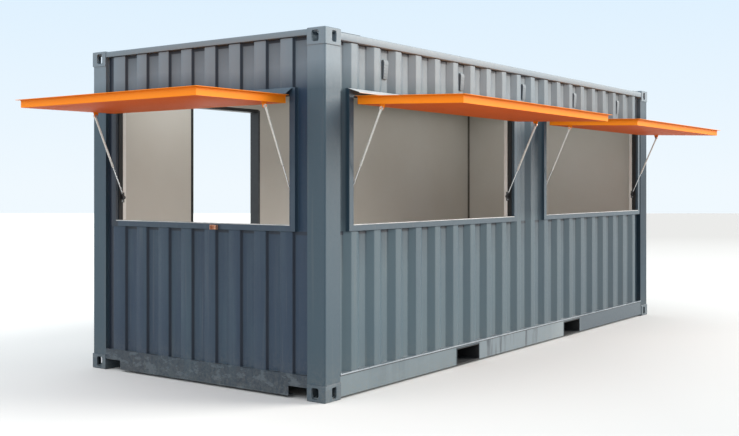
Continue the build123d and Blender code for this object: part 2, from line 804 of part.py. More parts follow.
def lug(jamb, side):
    """A plate under the flap with the pin that carries the top of a strut."""
    pin_x = jamb + side * strut_from_jamb
    near = pin_x + side * (strut_eye_width / 2 + lug_side_gap)
    far = near + side * lug_plate
    top = (-strut_lug_along - lug_width / 2, -flap_depth + flap_sheet / 2)
    top_end = (-strut_lug_along + lug_width / 2, -flap_depth + flap_sheet / 2)
    low = -strut_lug_below
    plate = lengthwise([top, top_end, (-strut_lug_along + strut_eye_radius, low),
                        (-strut_lug_along - strut_eye_radius, low)], min(near, far), max(near, far))
    plate += rod_along_x(strut_eye_radius, near, far, -strut_lug_along, low)
    plate += rod_along_x(strut_pin_radius, pin_x - side * (strut_eye_width / 2 + 2 * lug_side_gap),
                         far, -strut_lug_along, low)
    return plate


def flap_skin(hatch):
    """The outer sheet, wider and longer than the tray."""
    x0 = hatch.left + flap_side_gap - flap_skin_overhang
    x1 = hatch.right - flap_side_gap + flap_skin_overhang
    skin = block(x0, x1, -flap_length - flap_skin_overhang, -flap_top_gap, 0, flap_sheet)
    return open_flap(hatch, skin)


# Gas struts


def stand_strut(hatch, jamb_x, shape):
    """Stands a strut's piece, drawn upright on its foot, at its open lean."""
    return hatch.place(Pos(jamb_x, hatch.foot_y, strut_foot_z) * Rot(hatch.open_lean, 0, 0) * shape)


def strut_rod(hatch):
    """A thin rod with an eye at its foot."""
    top = hatch.open_length - strut_tube_length + strut_rod_in_tube
    rod = Pos(0, 0, top / 2) * Cylinder(strut_rod_radius, top)
    rod += rod_along_x(strut_eye_radius, -strut_eye_width / 2, strut_eye_width / 2, 0, 0)
    return one_solid(rod)


def strut_tube(hatch):
    """A tube bored for the rod, with an eye for the lug's pin at its top."""
    top = hatch.open_length
    low = top - strut_tube_length
    bore = strut_rod_in_tube + hatch.stroke + strut_bore_spare
    half = strut_eye_width / 2
    neck = top - strut_neck_length
    tube = Pos(0, 0, (low + neck) / 2) * Cylinder(strut_tube_radius, neck - low)
    tube += Pos(0, 0, top - strut_neck_length / 2) * Cylinder(strut_neck_radius, strut_neck_length)
    tube += rod_along_x(strut_eye_radius, -half, half, 0, top)
    tube -= rod_along_x(strut_pin_radius + strut_clearance, -strut_eye_radius, strut_eye_radius,
                        0, top)
    tube -= Pos(0, 0, low + bore / 2) * Cylinder(strut_rod_radius + strut_clearance, bore)
    return one_solid(tube)


def strut_bracket(hatch, jamb, side):
    """A plate on the jamb with a short pin that reaches the eye of the rod."""
    x0 = jamb + side * seal_thickness
    x1 = x0 + side * bracket_plate
    eye = jamb + side * (strut_from_jamb - strut_eye_width / 2 - lug_side_gap)
    y = hatch.foot_y
    plate = block(x0, x1, y - bracket_width / 2, y + bracket_width / 2,
                  strut_foot_z - bracket_height / 2, strut_foot_z + bracket_height / 2)
    plate += rod_along_x(strut_eye_radius, x1, eye, y, strut_foot_z)
    return hatch.place(one_solid(plate))


def jambs(hatch):
    """Both jambs of a hatch, each with the direction towards the middle."""
    return ((hatch.left, 1), (hatch.right, -1))


def hatch_fittings():
    """Everything that belongs to the three hatches."""
    save("side_hatch_frames", hatch_frame(first_hatch), hatch_frame(second_hatch))
    save("end_hatch_frame", hatch_frame(end_hatch))
    save("hatch_seals", *[hatch_seal(hatch) for hatch in hatches])
    save("rain_flashings", *[rain_flashing(hatch) for hatch in hatches])
    brackets = [strut_bracket(hatch, *jamb) for hatch in hatches for jamb in jambs(hatch)]
    save("strut_brackets", *brackets)
    for hatch in hatches:
        save(hatch.name + "_flap_frame", flap_frame(hatch))
        save(hatch.name + "_flap_skin", flap_skin(hatch))
        places = [jamb + side * strut_from_jamb for jamb, side in jambs(hatch)]
        rod = strut_rod(hatch)
        tube = strut_tube(hatch)
        save(hatch.name + "_strut_rods", *[stand_strut(hatch, x, rod) for x in places])
        save(hatch.name + "_strut_tubes", *[stand_strut(hatch, x, tube) for x in places])
    top = opening_bottom_z - keeper_below_sill
    low = top - keeper_height
    from_y = keeper_y - keeper_width / 2
    to_y = keeper_y + keeper_width / 2
    keeper = block(-end_face - keeper_depth, -end_face, from_y, to_y, low, top)
    keeper -= block(-end_face - keeper_depth, -end_face - hinge_leaf, from_y + hinge_leaf,
                    to_y - hinge_leaf, low, top - hinge_leaf)
    save("latch_keeper", one_solid(keeper))


# Vents, doorway and its leaf


def vents():
    """Hoods with a slanted top, each seated on the bottom of a recess and open below."""
    pitch = side_wave_crest + side_wave_recess + 2 * side_wave_slope
    middle_x = side_wave_crest_x - pitch / 2
    front = -side_face + wall_setback
    back = front + side_wave_depth
    top = height - vent_drop
    low = top - vent_height
    wall = vent_wall
    pieces = []
    for number in range(vent_count):
        x = middle_x + (number - (vent_count - 1) / 2) * recess_count_per_vent * pitch
        x0 = x - vent_width / 2
        x1 = x + vent_width / 2
        hood = lengthwise([(back, low), (front, low), (front, top - vent_slant), (back, top)],
                          x0, x1)
        hood -= lengthwise([(back - wall, low), (front + wall, low),
                            (front + wall, top - vent_slant - wall), (back - wall, top - 2 * wall)],
                           x0 + wall, x1 - wall)
        pieces.append(one_solid(hood))
    save("side_vents", *pieces)


def doorway():
    """A steel door frame through the back wall, and a leaf folded back flat outside."""
    x0 = doorway_from_x - doorway_frame_face
    x1 = doorway_to_x + doorway_frame_face
    head = doorway_head_z + doorway_frame_face
    frame = block(x0, x1, room_side_y, side_face, rail_top_z, head)
    frame -= block(doorway_from_x, doorway_to_x, room_side_y, side_face,
                   rail_top_z + doorway_threshold, doorway_head_z)
    save("doorway_frame", one_solid(frame))
    leaf_width = doorway_to_x - doorway_from_x - leaf_margin
    y0 = side_face + leaf_stand_off
    z0 = rail_top_z + leaf_bottom_gap
    z1 = doorway_head_z - leaf_margin
    end = doorway_from_x - leaf_margin
    leaf = block(end - leaf_width, end, y0, y0 + leaf_thickness, z0, z1)
    half = leaf_stand_off / 2
    for z in (z0 + leaf_knuckle_inset, (z0 + z1) / 2, z1 - leaf_knuckle_inset):
        leaf += Pos(end - half, side_face + half, z) * Cylinder(half, leaf_knuckle_length)
        leaf += block(end - 2 * half, end, side_face + half, y0, z - leaf_knuckle_length / 2,
                      z + leaf_knuckle_length / 2)
    grip_x = end - leaf_width + leaf_handle_inset
    grip_y = y0 + leaf_thickness + leaf_handle_stand_off
    radius = leaf_handle_radius
    leaf += rod_along_x(radius, grip_x - radius, grip_x + leaf_handle_length, grip_y, leaf_handle_z)
    leaf += Pos(grip_x, (y0 + leaf_thickness + grip_y) / 2, leaf_handle_z) * Rot(90, 0, 0) * Cylinder(
        radius, leaf_handle_stand_off)
    save("door_leaf", one_solid(leaf))


os.makedirs("parts", exist_ok=True)
castings()
posts()
bottom_rails()
top_rails()
sills()
headers()
floor()
roof()
hatch_side_walls()
blind_end_wall()
back_wall()
cargo_doors()
linings()
hatch_fittings()
vents()
doorway()
for hatch in hatches:
    print(hatch.name, "strut open", round(hatch.open_length, 3), "lean", round(hatch.open_lean, 4),
          "closed", round(hatch.closed_length, 3), "lean", round(hatch.closed_lean, 4))
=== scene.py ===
import math
import bpy
import numpy as np
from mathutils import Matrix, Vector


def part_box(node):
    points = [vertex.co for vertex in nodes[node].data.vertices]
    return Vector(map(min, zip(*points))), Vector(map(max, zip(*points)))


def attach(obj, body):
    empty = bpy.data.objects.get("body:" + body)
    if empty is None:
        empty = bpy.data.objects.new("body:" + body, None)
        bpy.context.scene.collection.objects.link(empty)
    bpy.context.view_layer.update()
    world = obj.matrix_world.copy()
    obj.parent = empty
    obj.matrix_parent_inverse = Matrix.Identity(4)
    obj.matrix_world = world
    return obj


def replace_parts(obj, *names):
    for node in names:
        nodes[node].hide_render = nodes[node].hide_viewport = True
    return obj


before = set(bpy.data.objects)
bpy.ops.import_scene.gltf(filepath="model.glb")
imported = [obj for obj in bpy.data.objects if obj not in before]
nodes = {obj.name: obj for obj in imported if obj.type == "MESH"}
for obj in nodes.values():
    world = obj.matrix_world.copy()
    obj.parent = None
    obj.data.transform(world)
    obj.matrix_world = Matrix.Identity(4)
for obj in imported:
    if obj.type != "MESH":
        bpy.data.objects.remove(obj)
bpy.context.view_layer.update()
dice = np.random.default_rng(20)

# everything is in metres: the hatch side faces -Y, the end hatch faces -X, the ground is z = 0


def show(name, data):
    made = bpy.data.objects.new(name, data)
    bpy.context.scene.collection.objects.link(made)
    return made


# camera, fitted to the photograph's frame of 739 by 436
cameraLook = dict(place=(-8.534, -5.556, 1.491), turn=-54.25, lens=49.84, shift=-0.0429, sensor=36.0, reach=400.0)

cameraData = bpy.data.cameras.new("viewCamera")
cameraData.sensor_width = cameraLook["sensor"]
cameraData.lens = cameraLook["lens"]
cameraData.shift_y = cameraLook["shift"]
cameraData.clip_end = cameraLook["reach"]
camera = show("viewCamera", cameraData)
camera.location = cameraLook["place"]
camera.rotation_euler = (math.radians(90), 0, math.radians(cameraLook["turn"]))
bpy.context.scene.camera = camera
bpy.context.scene.view_settings.view_transform = "Standard"
print("camera set")


# materials: a small helper that adds one node per call
class NodeTree:
    def __init__(self, tree):
        self.tree = tree

    def add(self, kind, **settings):
        node = self.tree.nodes.new(kind)
        for key, value in settings.items():
            setattr(node, key, value)
        return node

    def put(self, socket, value):
        if isinstance(value, bpy.types.NodeSocket):
            self.tree.links.new(value, socket)
        elif isinstance(value, tuple) and socket.type == "RGBA":
            socket.default_value = (*value, 1.0)
        else:
            socket.default_value = value

    def math(self, kind, first, second=0.0, clamp=False):
        node = self.add("ShaderNodeMath", operation=kind, use_clamp=clamp)
        self.put(node.inputs[0], first)
        self.put(node.inputs[1], second)
        return node.outputs[0]

    def times(self, first, second):
        return self.math("MULTIPLY", first, second, clamp=True)

    def span(self, value, low, high, toLow=0.0, toHigh=1.0):
        node = self.add("ShaderNodeMapRange")
        for socket, number in zip(node.inputs, (value, low, high, toLow, toHigh)):
            self.put(socket, number)
        return node.outputs[0]

    def between(self, value, start, full, fading, end, share=1.0):
        # rises from start to full and falls from fading to end
        return self.times(self.span(value, start, full, 0.0, share), self.span(value, end, fading))

    def mix(self, share, first, second):
        node = self.add("ShaderNodeMix", data_type="RGBA")
        for socket, value in zip((node.inputs[0], node.inputs[6], node.inputs[7]), (share, first, second)):
            self.put(socket, value)
        return node.outputs[2]

    def split(self, vector):
        node = self.add("ShaderNodeSeparateXYZ")
        self.put(node.inputs[0], vector)
        return node.outputs

    def seen(self):
        # 1 for what the camera sees, also in a mirror or through glass
        rays = self.add("ShaderNodeLightPath").outputs
        direct = self.math("MAXIMUM", rays["Is Camera Ray"], rays["Is Glossy Ray"])
        return self.math("MAXIMUM", direct, rays["Is Transmission Ray"])


class Paint(NodeTree):
    # a material, all on Object coordinates
    def __init__(self, name):
        self.material = bpy.data.materials.new(name)
        self.material.use_nodes = True
        super().__init__(self.material.node_tree)
        self.shader = self.tree.nodes["Principled BSDF"]
        self.place = self.add("ShaderNodeTexCoord").outputs["Object"]
        self.axes = self.split(self.place)
        self.x, self.y, self.z = self.axes

    def stretch(self, scale, shift=(0.0, 0.0, 0.0)):
        node = self.add("ShaderNodeMapping")
        self.put(node.inputs["Vector"], self.place)
        node.inputs["Scale"].default_value = scale
        node.inputs["Location"].default_value = shift
        return node.outputs[0]

    def noise(self, scale, detail=3.0, rough=0.5, vector=None):
        node = self.add("ShaderNodeTexNoise")
        self.put(node.inputs["Vector"], vector or self.place)
        node.inputs["Scale"].default_value = scale
        node.inputs["Detail"].default_value = detail
        node.inputs["Roughness"].default_value = rough
        return node.outputs["Fac"]

    def bump(self, height, strength, distance, under=None):
        node = self.add("ShaderNodeBump")
        node.inputs["Strength"].default_value = strength
        node.inputs["Distance"].default_value = distance
        self.put(node.inputs["Height"], height)
        if under:
            self.put(node.inputs["Normal"], under)
        return node.outputs[0]

    def finish(self, colour, rough, normal=None, metal=0.0, shine=0.5):
        self.put(self.shader.inputs["Base Color"], colour)
        self.put(self.shader.inputs["Roughness"], rough)
        self.shader.inputs["Metallic"].default_value = metal
        self.shader.inputs["Specular IOR Level"].default_value = shine
        if normal:
            self.put(self.shader.inputs["Normal"], normal)
        return self.material


def srgb(red, green, blue):
    # screen values 0-255 to the linear numbers that a shader takes
    share = np.array([red, green, blue]) / 255.0
    return tuple(np.where(share <= 0.04045, share / 12.92, ((share + 0.055) / 1.055) ** 2.4).tolist())


def dress(material, *names):
    for name in names:
        if not nodes[name].material_slots:
            nodes[name].data.materials.append(material)
        for holder in nodes[name].material_slots:
            holder.material = material


# container paint: satin blue-grey enamel that has faded in broad clouds, with rain runs, dust low down, stone
# chips with rusty middles, and lighter touch-up strokes where scuffs gives any; near the roof it is painted paler,
# painted light from the open sky that the flaps keep off the lower wall
paintLook = dict(tone=srgb(46, 68, 83), faded=srgb(56, 78, 92), touchUp=srgb(118, 130, 138),
                 skyLit=srgb(124, 140, 152), skyLitFrom=2.14, skyLitTo=2.34, skyLitShare=0.70,
                 dust=srgb(120, 120, 114), dustTop=0.5, dustFull=0.02, grimeAndShade=srgb(12, 24, 40),
                 rust=srgb(104, 58, 34), rough=0.44, shine=0.5)
# wear and painted light: slope, recess and jamb shade and the flap shadow are painted shade, and the pale
# long-side flashing is a painted reflection
wearAndShadeLook = dict(slopeShadeShare=0.9, hookHigh=0.026, fadeHigh=0.30, flapShadow=srgb(40, 58, 70),
                flapShadowHeights=(1.15, 1.27, 2.08, 2.19), paler=srgb(152, 161, 166), beyondPocket=srgb(66, 80, 90),
                skyReflectedPale=srgb(196, 202, 206))


def steelPaint(name, tone=paintLook["tone"], scuffs=0.0, chips=0.0, rough=paintLook["rough"], grain=0.0,
               skyLit=1.0, shine=paintLook["shine"], wear=()):
    # wear lists the marks of one place, painted shade and painted reflection among them: each is a function from
    # below and its settings
    p = Paint(name)
    clouds = p.noise(0.9, 4.0, 0.55)
    runs = p.noise(11.0, 3.0, 0.6, p.stretch((1.0, 1.0, 0.05)))
    fade = p.times(p.span(clouds, 0.38, 0.72), p.span(runs, 0.3, 0.75))
    colour = p.mix(fade, tone, paintLook["faded"])
    thin = p.noise(26.0, 2.0, 0.5, p.stretch((1.0, 1.0, 0.03), (3.0, 7.0, 0.0)))
    colour = p.mix(p.span(thin, 0.62, 0.74, 0.0, 0.12), colour, paintLook["dust"])
    speck = p.noise(38.0, 6.0, 0.68)
    # painted light: above skyLitFrom the paint turns paler, standing for the sky's light on the upper wall
    skyLitLevel = p.math("ADD", p.z, p.span(clouds, 0.3, 0.7, -0.05, 0.05))
    skyLitMask = p.span(skyLitLevel, paintLook["skyLitFrom"], paintLook["skyLitTo"], 0.0, paintLook["skyLitShare"] * skyLit)
    colour = p.mix(skyLitMask, colour, paintLook["skyLit"])
    low = p.span(p.z, paintLook["dustTop"], paintLook["dustFull"])
    dust = p.times(p.times(low, low), p.span(speck, 0.38, 0.72, 0.05, 0.5))
    colour = p.mix(dust, colour, paintLook["dust"])
    if scuffs:
        strokes = p.span(p.noise(7.0, 7.0, 0.72, p.stretch((1.0, 1.0, 2.2))), 0.53, 0.57)
        colour = p.mix(p.times(strokes, scuffs), colour, paintLook["touchUp"])
    if chips:
        where = p.span(p.noise(3.1, 3.0, 0.5), 0.5, 0.66)
        pits = p.noise(85.0, 5.0, 0.7)
        for start, full, bare in ((0.66, 0.69, paintLook["touchUp"]), (0.69, 0.72, paintLook["rust"])):
            colour = p.mix(p.times(p.times(p.span(pits, start, full), where), chips), colour, bare)
    for mark, settings in wear:
        colour = mark(p, colour, **settings)
    roughness = p.span(speck, 0.2, 0.8, rough - 0.03, rough + 0.14)
    skin = p.bump(p.noise(260.0, 2.0, 0.5), 0.10, 0.0008)
    if grain:
        skin = p.bump(p.noise(140.0, 6.0, 0.75), 0.6, grain, skin)
    return p.finish(colour, roughness, p.bump(clouds, 0.12, 0.02, skin), shine=shine)


def slopeShade(p, colour, recess, crest):
    # painted shade: a near-black tone on the pressed slopes of a sheet that faces -X, between its crest and recess
    # planes
    inside = p.between(p.x, crest, crest + 0.002, recess - 0.004, recess)
    return p.mix(p.math("MULTIPLY", inside, wearAndShadeLook["slopeShadeShare"]), colour, paintLook["grimeAndShade"])


def recessShade(p, colour, axis, recess, edges):
    # painted shade under the upper edge of each recess, which lies at +-recess on the axis, where the rail or
    # frame above shades it; edges gives, for each height, how strongly a wider painted shade fades down from it
    behind = p.span(p.math("ABSOLUTE", p.axes[axis]), recess + 0.002, recess)
    for level, fading in edges:
        near = p.between(p.z, level - wearAndShadeLook["hookHigh"], level - 0.020, level, level + 0.004, 0.75)
        wide = p.between(p.z, level - wearAndShadeLook["fadeHigh"], level, level, level + 0.004, fading)
        colour = p.mix(p.times(behind, p.math("ADD", near, wide)), colour, paintLook["grimeAndShade"])
    return colour


def jambShade(p, colour, start):
    # painted shade on the jamb beside the far post, from one place along Y onwards
    return p.mix(p.span(p.y, start, start + 0.02, 0.0, 0.85), colour, paintLook["grimeAndShade"])


def flapShadowBand(p, colour):
    # painted shadow of the flaps: a darker band at the flaps' height under them, and the far half of the wall a
    # little darker
    band = p.math("MULTIPLY", p.between(p.z, *wearAndShadeLook["flapShadowHeights"]), 0.7)
    far = p.span(p.x, -0.8, 2.2, 0.0, 0.45)
    return p.mix(p.math("MAXIMUM", band, far), colour, wearAndShadeLook["flapShadow"])


def palerFarOff(p, colour):
    # a rail that is paler up to the far fork pocket, and darker beyond it
    colour = p.mix(p.span(p.x, 0.0, 0.8, 0.0, 0.5), colour, wearAndShadeLook["paler"])
    return p.mix(p.span(p.x, 1.0, 1.2), colour, wearAndShadeLook["beyondPocket"])


def skyReflectionSide(p, colour):
    # painted reflection: the long side's flashings are painted pale for the bright sky they reflect
    return p.mix(p.span(p.y, -1.20, -1.21, 0.0, 0.9), colour, wearAndShadeLook["skyReflectedPale"])


def repaintedPatch(p, colour, start, end):
    # a stretch of rail that was repainted paler, with dark runs down it
    inside = p.between(p.x, start, start + 0.03, end - 0.25, end)
    colour = p.mix(p.math("MULTIPLY", inside, 0.55), colour, paintLook["touchUp"])
    lines = p.span(p.noise(13.0, 4.0, 0.6, p.stretch((1.0, 1.0, 0.08))), 0.52, 0.62, 0.0, 0.75)
    return p.mix(p.times(inside, lines), colour, paintLook["grimeAndShade"])


wallPaint = steelPaint("wallPaint", chips=0.35)
# the hatch side's sheets: a lighter tone than wallPaint, a painted sheen, with painted recess shade and painted
# flap shadow
sideSheetSheenPaint = steelPaint("sideSheetSheenPaint", srgb(70, 90, 100), chips=0.35, wear=(
    (recessShade, dict(axis=1, recess=1.173, edges=((2.512, 0.42), (1.171, 0.42)))), (flapShadowBand, {})))
# the blind end's sheets: a darker, bluer tone, painted shade, with painted shade on slopes, recess tops and the
# far jamb
endSheetShadePaint = steelPaint("endSheetShadePaint", srgb(26, 49, 72), chips=0.35, wear=(
    (slopeShade, dict(crest=-3.0125, recess=-2.990)),
    (recessShade, dict(axis=0, recess=2.992, edges=((2.538, 0.42), (1.171, 0.06)))), (jambShade, dict(start=0.985))))
framePaint = steelPaint("framePaint", srgb(54, 75, 88), chips=0.5)
railPaint = steelPaint("railPaint", srgb(100, 116, 125), chips=0.6, scuffs=0.12, wear=(
    (palerFarOff, {}), (repaintedPatch, dict(start=-0.90, end=0.45))))
sillPaint = steelPaint("sillPaint", srgb(29, 45, 60), scuffs=0.26, chips=0.5)
castingPaint = steelPaint("castingPaint", srgb(66, 83, 95), scuffs=0.25, chips=1.0, rough=0.46, grain=0.0012)
seamPaint = steelPaint("seamPaint", srgb(44, 62, 76), rough=0.5)
hatchFramePaint = steelPaint("hatchFramePaint", srgb(50, 71, 85), chips=0.2, rough=0.4)
# the door end's posts: a darker, duller tone, painted shade
farPostShadePaint = steelPaint("farPostShadePaint", srgb(34, 50, 62), chips=0.4, skyLit=0.5, shine=0.15)
topRailPaint = steelPaint("topRailPaint", srgb(54, 75, 88), chips=0.5, skyLit=1.2)
ventPaint = steelPaint("ventPaint", srgb(44, 58, 68), chips=0.3, skyLit=0.6)
# the end hatch's frame carries painted shade on its far jamb
endFramePaint = steelPaint("endFramePaint", srgb(42, 60, 78), chips=0.2, rough=0.4,
                           wear=((jambShade, dict(start=0.90)),))
# the long side's flashings carry a painted reflection of the sky
flashingPaint = steelPaint("flashingPaint", srgb(84, 100, 114), chips=0.3, rough=0.3, wear=((skyReflectionSide, {}),))
# worn edge paint, pale as a painted highlight on the bottom rail's lip
wornLitEdge = steelPaint("wornLitEdge", srgb(146, 156, 166), scuffs=0.6, chips=0.6, rough=0.38)
nosingHighlight = steelPaint("nosingHighlight", srgb(226, 230, 230), chips=0.3, rough=0.3)


def roofPaint():
    # the same enamel, chalked by the sun, with dirt that has dried in the low parts of the waves
    p = Paint("roofPaint")
    clouds = p.noise(1.4, 5.0, 0.6)
    colour = p.mix(p.span(clouds, 0.35, 0.7), srgb(104, 118, 129), srgb(132, 141, 146))
    low = p.span(p.z, 2.572, 2.552)
    dirt = p.times(low, p.span(p.noise(6.0, 6.0, 0.7), 0.35, 0.65, 0.15, 0.85))
    colour = p.mix(dirt, colour, srgb(92, 84, 68))
    roughness = p.span(clouds, 0.3, 0.7, 0.48, 0.62)
    return p.finish(colour, roughness, p.bump(p.noise(120.0, 3.0, 0.6), 0.15, 0.0008), shine=0.25)


orangeLook = dict(skin=(srgb(255, 146, 26), srgb(255, 156, 44)), tray=(srgb(255, 142, 24), srgb(255, 150, 38)),
                  under=(srgb(255, 108, 32), srgb(255, 114, 38)), worn=srgb(222, 92, 16), shine=0.12)


def flapPaint(name, rough, tones):
    # bright orange enamel: slow fading, fine rubbed specks, an even gloss and a little orange peel
    p = Paint(name)
    clouds = p.noise(1.7, 4.0, 0.55)
    speck = p.noise(46.0, 5.0, 0.65)
    colour = p.mix(p.span(clouds, 0.35, 0.7, 0.0, 0.7), *tones)
    rub = p.times(p.span(speck, 0.58, 0.8), p.span(p.noise(4.0, 3.0), 0.45, 0.7, 0.0, 0.35))
    colour = p.mix(rub, colour, orangeLook["worn"])
    roughness = p.span(speck, 0.3, 0.8, rough, rough + 0.12)
    skin = p.bump(p.noise(240.0, 2.0, 0.5), 0.08, 0.0008)
    return p.finish(colour, roughness, p.bump(clouds, 0.1, 0.012, skin), shine=orangeLook["shine"])


def plainFinish(name, tone, second, scale, rough, metal=0.0, grain=0.0, stretch=None):
    # two close tones broken up by noise; roughness and a fine bump follow the same field
    p = Paint(name)
    field = p.noise(scale, 5.0, 0.6, p.stretch(stretch) if stretch else None)
    colour = p.mix(p.span(field, 0.35, 0.68), srgb(*tone), srgb(*second))
    roughness = p.span(field, 0.2, 0.8, rough - 0.05, rough + 0.1)
    normal = p.bump(field, 0.25, grain) if grain else None
    return p.finish(colour, roughness, normal, metal)


def boardLining():
    # painted wall board: faint roller stipple, hand marks low down, yellowing in slow clouds
    p = Paint("boardLining")
    clouds = p.noise(0.8, 4.0, 0.55)
    colour = p.mix(p.span(clouds, 0.3, 0.7), srgb(219, 217, 211), srgb(209, 205, 196))
    marks = p.times(p.span(p.z, 1.2, 0.2), p.span(p.noise(9.0, 6.0, 0.7), 0.52, 0.7, 0.0, 0.4))
    colour = p.mix(marks, colour, srgb(150, 143, 130))
    stipple = p.bump(p.noise(180.0, 3.0, 0.6), 0.2, 0.0007)
    return p.finish(colour, p.span(clouds, 0.3, 0.7, 0.42, 0.54), stipple)


def plyFloor():
    # phenolic ply in sheets 1.2 m long: long grain along X, darker trodden paths, a fine anti-slip mesh
    p = Paint("plyFloor")
    grain = p.noise(22.0, 6.0, 0.65, p.stretch((0.12, 3.5, 1.0)))
    colour = p.mix(p.span(grain, 0.3, 0.7), srgb(134, 108, 78), srgb(96, 73, 50))
    trod = p.span(p.noise(1.6, 5.0, 0.6), 0.42, 0.68, 0.0, 0.6)
    colour = p.mix(trod, colour, srgb(84, 72, 60))
    mesh = p.add("ShaderNodeTexVoronoi", feature="DISTANCE_TO_EDGE")
    mesh.inputs["Scale"].default_value = 130.0
    p.put(mesh.inputs["Vector"], p.place)
    ridge = p.span(mesh.outputs["Distance"], 0.0, 0.12)
    joint = p.span(p.math("PINGPONG", p.x, 0.6), 0.0012, 0.0024, 1.0, 0.0)
    colour = p.mix(joint, colour, srgb(30, 26, 22))
    return p.finish(colour, p.span(trod, 0.0, 0.6, 0.4, 0.6), p.bump(ridge, 0.2, 0.0006))


wallLining, plyBoards, roofEnamel = boardLining(), plyFloor(), roofPaint()
flapOrange = flapPaint("flapOrange", 0.42, orangeLook["tray"])
# the flaps' underside: a darker, redder orange, painted shade
flapUnderShadeOrange = flapPaint("flapUnderShadeOrange", 0.5, orangeLook["under"])
flapSkinOrange = flapPaint("flapSkinOrange", 0.34, orangeLook["skin"])
sealRubber = plainFinish("sealRubber", (22, 23, 24), (36, 36, 36), 60.0, 0.6, grain=0.0006)
darkSealantShade = plainFinish("darkSealantShade", (18, 26, 36), (28, 36, 46), 30.0, 0.8)
blackSteel = plainFinish("blackSteel", (30, 30, 32), (46, 46, 48), 80.0, 0.36, grain=0.0003)
strutSilver = plainFinish("strutSilver", (226, 224, 218), (204, 202, 198), 90.0, 0.3, metal=0.35, grain=0.0002)
rodChrome = plainFinish("rodChrome", (214, 214, 214), (196, 198, 200), 150.0, 0.16, 0.9, stretch=(3.0, 3.0, 0.2))
zincSteel = plainFinish("zincSteel", (176, 180, 182), (144, 149, 152), 30.0, 0.42, metal=0.8, grain=0.0004)
brassMetal = plainFinish("brassMetal", (222, 170, 142), (182, 128, 100), 70.0, 0.38, metal=0.45, grain=0.0003)
doorFrameDark = plainFinish("doorFrameDark", (30, 34, 38), (40, 44, 48), 18.0, 0.42, grain=0.0005)
pocketDark = plainFinish("pocketDark", (26, 28, 31), (44, 45, 46), 14.0, 0.7, grain=0.0008)
trimGreyShade = plainFinish("trimGreyShade", (92, 86, 78), (78, 73, 66), 12.0, 0.5, grain=0.0003)
trimHighlightWhite = plainFinish("trimHighlightWhite", (244, 244, 240), (236, 236, 232), 8.0, 0.3, grain=0.0002)
trimWhite = plainFinish("trimWhite", (224, 222, 216), (212, 209, 202), 8.0, 0.4, grain=0.0003)

dress(wallPaint, "side_wall_panels", "side_wall_piers", "end_wall_panels", "end_wall_piers", "back_wall_panels",
      "back_wall_panel_over_door", "cargo_doors", "door_leaf")
dress(framePaint, "blind_end_posts", "top_side_rails", "end_headers", "floor_cross_members", "rain_flashings",
      "side_vents")
dress(farPostShadePaint, "door_end_posts")
dress(railPaint, "bottom_side_rails")
dress(pocketDark, "fork_pockets")
dress(sillPaint, "blind_end_sill", "door_end_sill")
dress(castingPaint, "bottom_corner_castings", "top_corner_castings")
dress(hatchFramePaint, "side_hatch_frames")
dress(endFramePaint, "end_hatch_frame")
dress(roofEnamel, "roof_panel")
dress(wallLining, "side_lining", "end_lining", "back_lining", "door_end_lining", "ceiling_lining")
dress(plyBoards, "floor_boards")
dress(sealRubber, "hatch_seals")
dress(blackSteel, "strut_brackets")
dress(brassMetal, "latch_keeper")
dress(doorFrameDark, "doorway_frame")
dress(zincSteel, "cargo_door_locking_bars")
for hatch in ("first", "second", "end"):
    dress(flapOrange, hatch + "_flap_frame")
    dress(flapSkinOrange, hatch + "_flap_skin")
    dress(strutSilver, hatch + "_strut_tubes")
    dress(rodChrome, hatch + "_strut_rods")
print("materials on the CAD nodes")


# mesh helpers: a piece is gathered from strips, and every strip is a grid of points
def gridFaces(rows, cols, ringed):
    # quads of a grid of rows by cols points; ringed joins the last column to the first
    i, j = np.meshgrid(np.arange(rows - 1), np.arange(cols if ringed else cols - 1), indexing="ij")
    k = (j + 1) % cols
    return np.stack([i * cols + j, (i + 1) * cols + j, (i + 1) * cols + k, i * cols + k], -1).reshape(-1, 4)


def resample(points, step):
    # equal steps along a broken line: its running length is cut evenly and each coordinate is read off
    points = np.asarray(points, float)
    run = np.concatenate([[0.0], np.cumsum(np.linalg.norm(np.diff(points, axis=0), axis=1))])
    cuts = np.linspace(0.0, run[-1], max(2, int(round(run[-1] / step)) + 1))
    return np.stack([np.interp(cuts, run, points[:, axis]) for axis in range(3)], -1)


def carry(path, section, up, scale=None, closed=False):
    # point(i, j) = path(i) + scale(i) * (sectionX(j) * side(i) + sectionY(j) * lift(i)),
    # with side = tangent x up and lift = side x tangent; a section that runs anticlockwise faces outwards
    path = np.asarray(path, float)
    section = np.asarray(section, float)
    if closed:
        tangent = np.roll(path, -1, axis=0) - np.roll(path, 1, axis=0)
    else:
        tangent = np.gradient(path, axis=0)
    tangent /= np.linalg.norm(tangent, axis=1, keepdims=True)
    side = np.cross(tangent, np.asarray(up, float))
    side /= np.linalg.norm(side, axis=1, keepdims=True)
    lift = np.cross(side, tangent)
    size = np.ones(len(path)) if scale is None else scale
    grid = path[:, None] + size[:, None, None] * (section[None, :, :1] * side[:, None]
                                                   + section[None, :, 1:] * lift[:, None])
    return np.concatenate([grid, grid[:1]]) if closed else grid


def circle(radius, sides):
    turn = np.arange(sides) * 2 * np.pi / sides
    return np.stack([radius * np.cos(turn), radius * np.sin(turn)], -1)


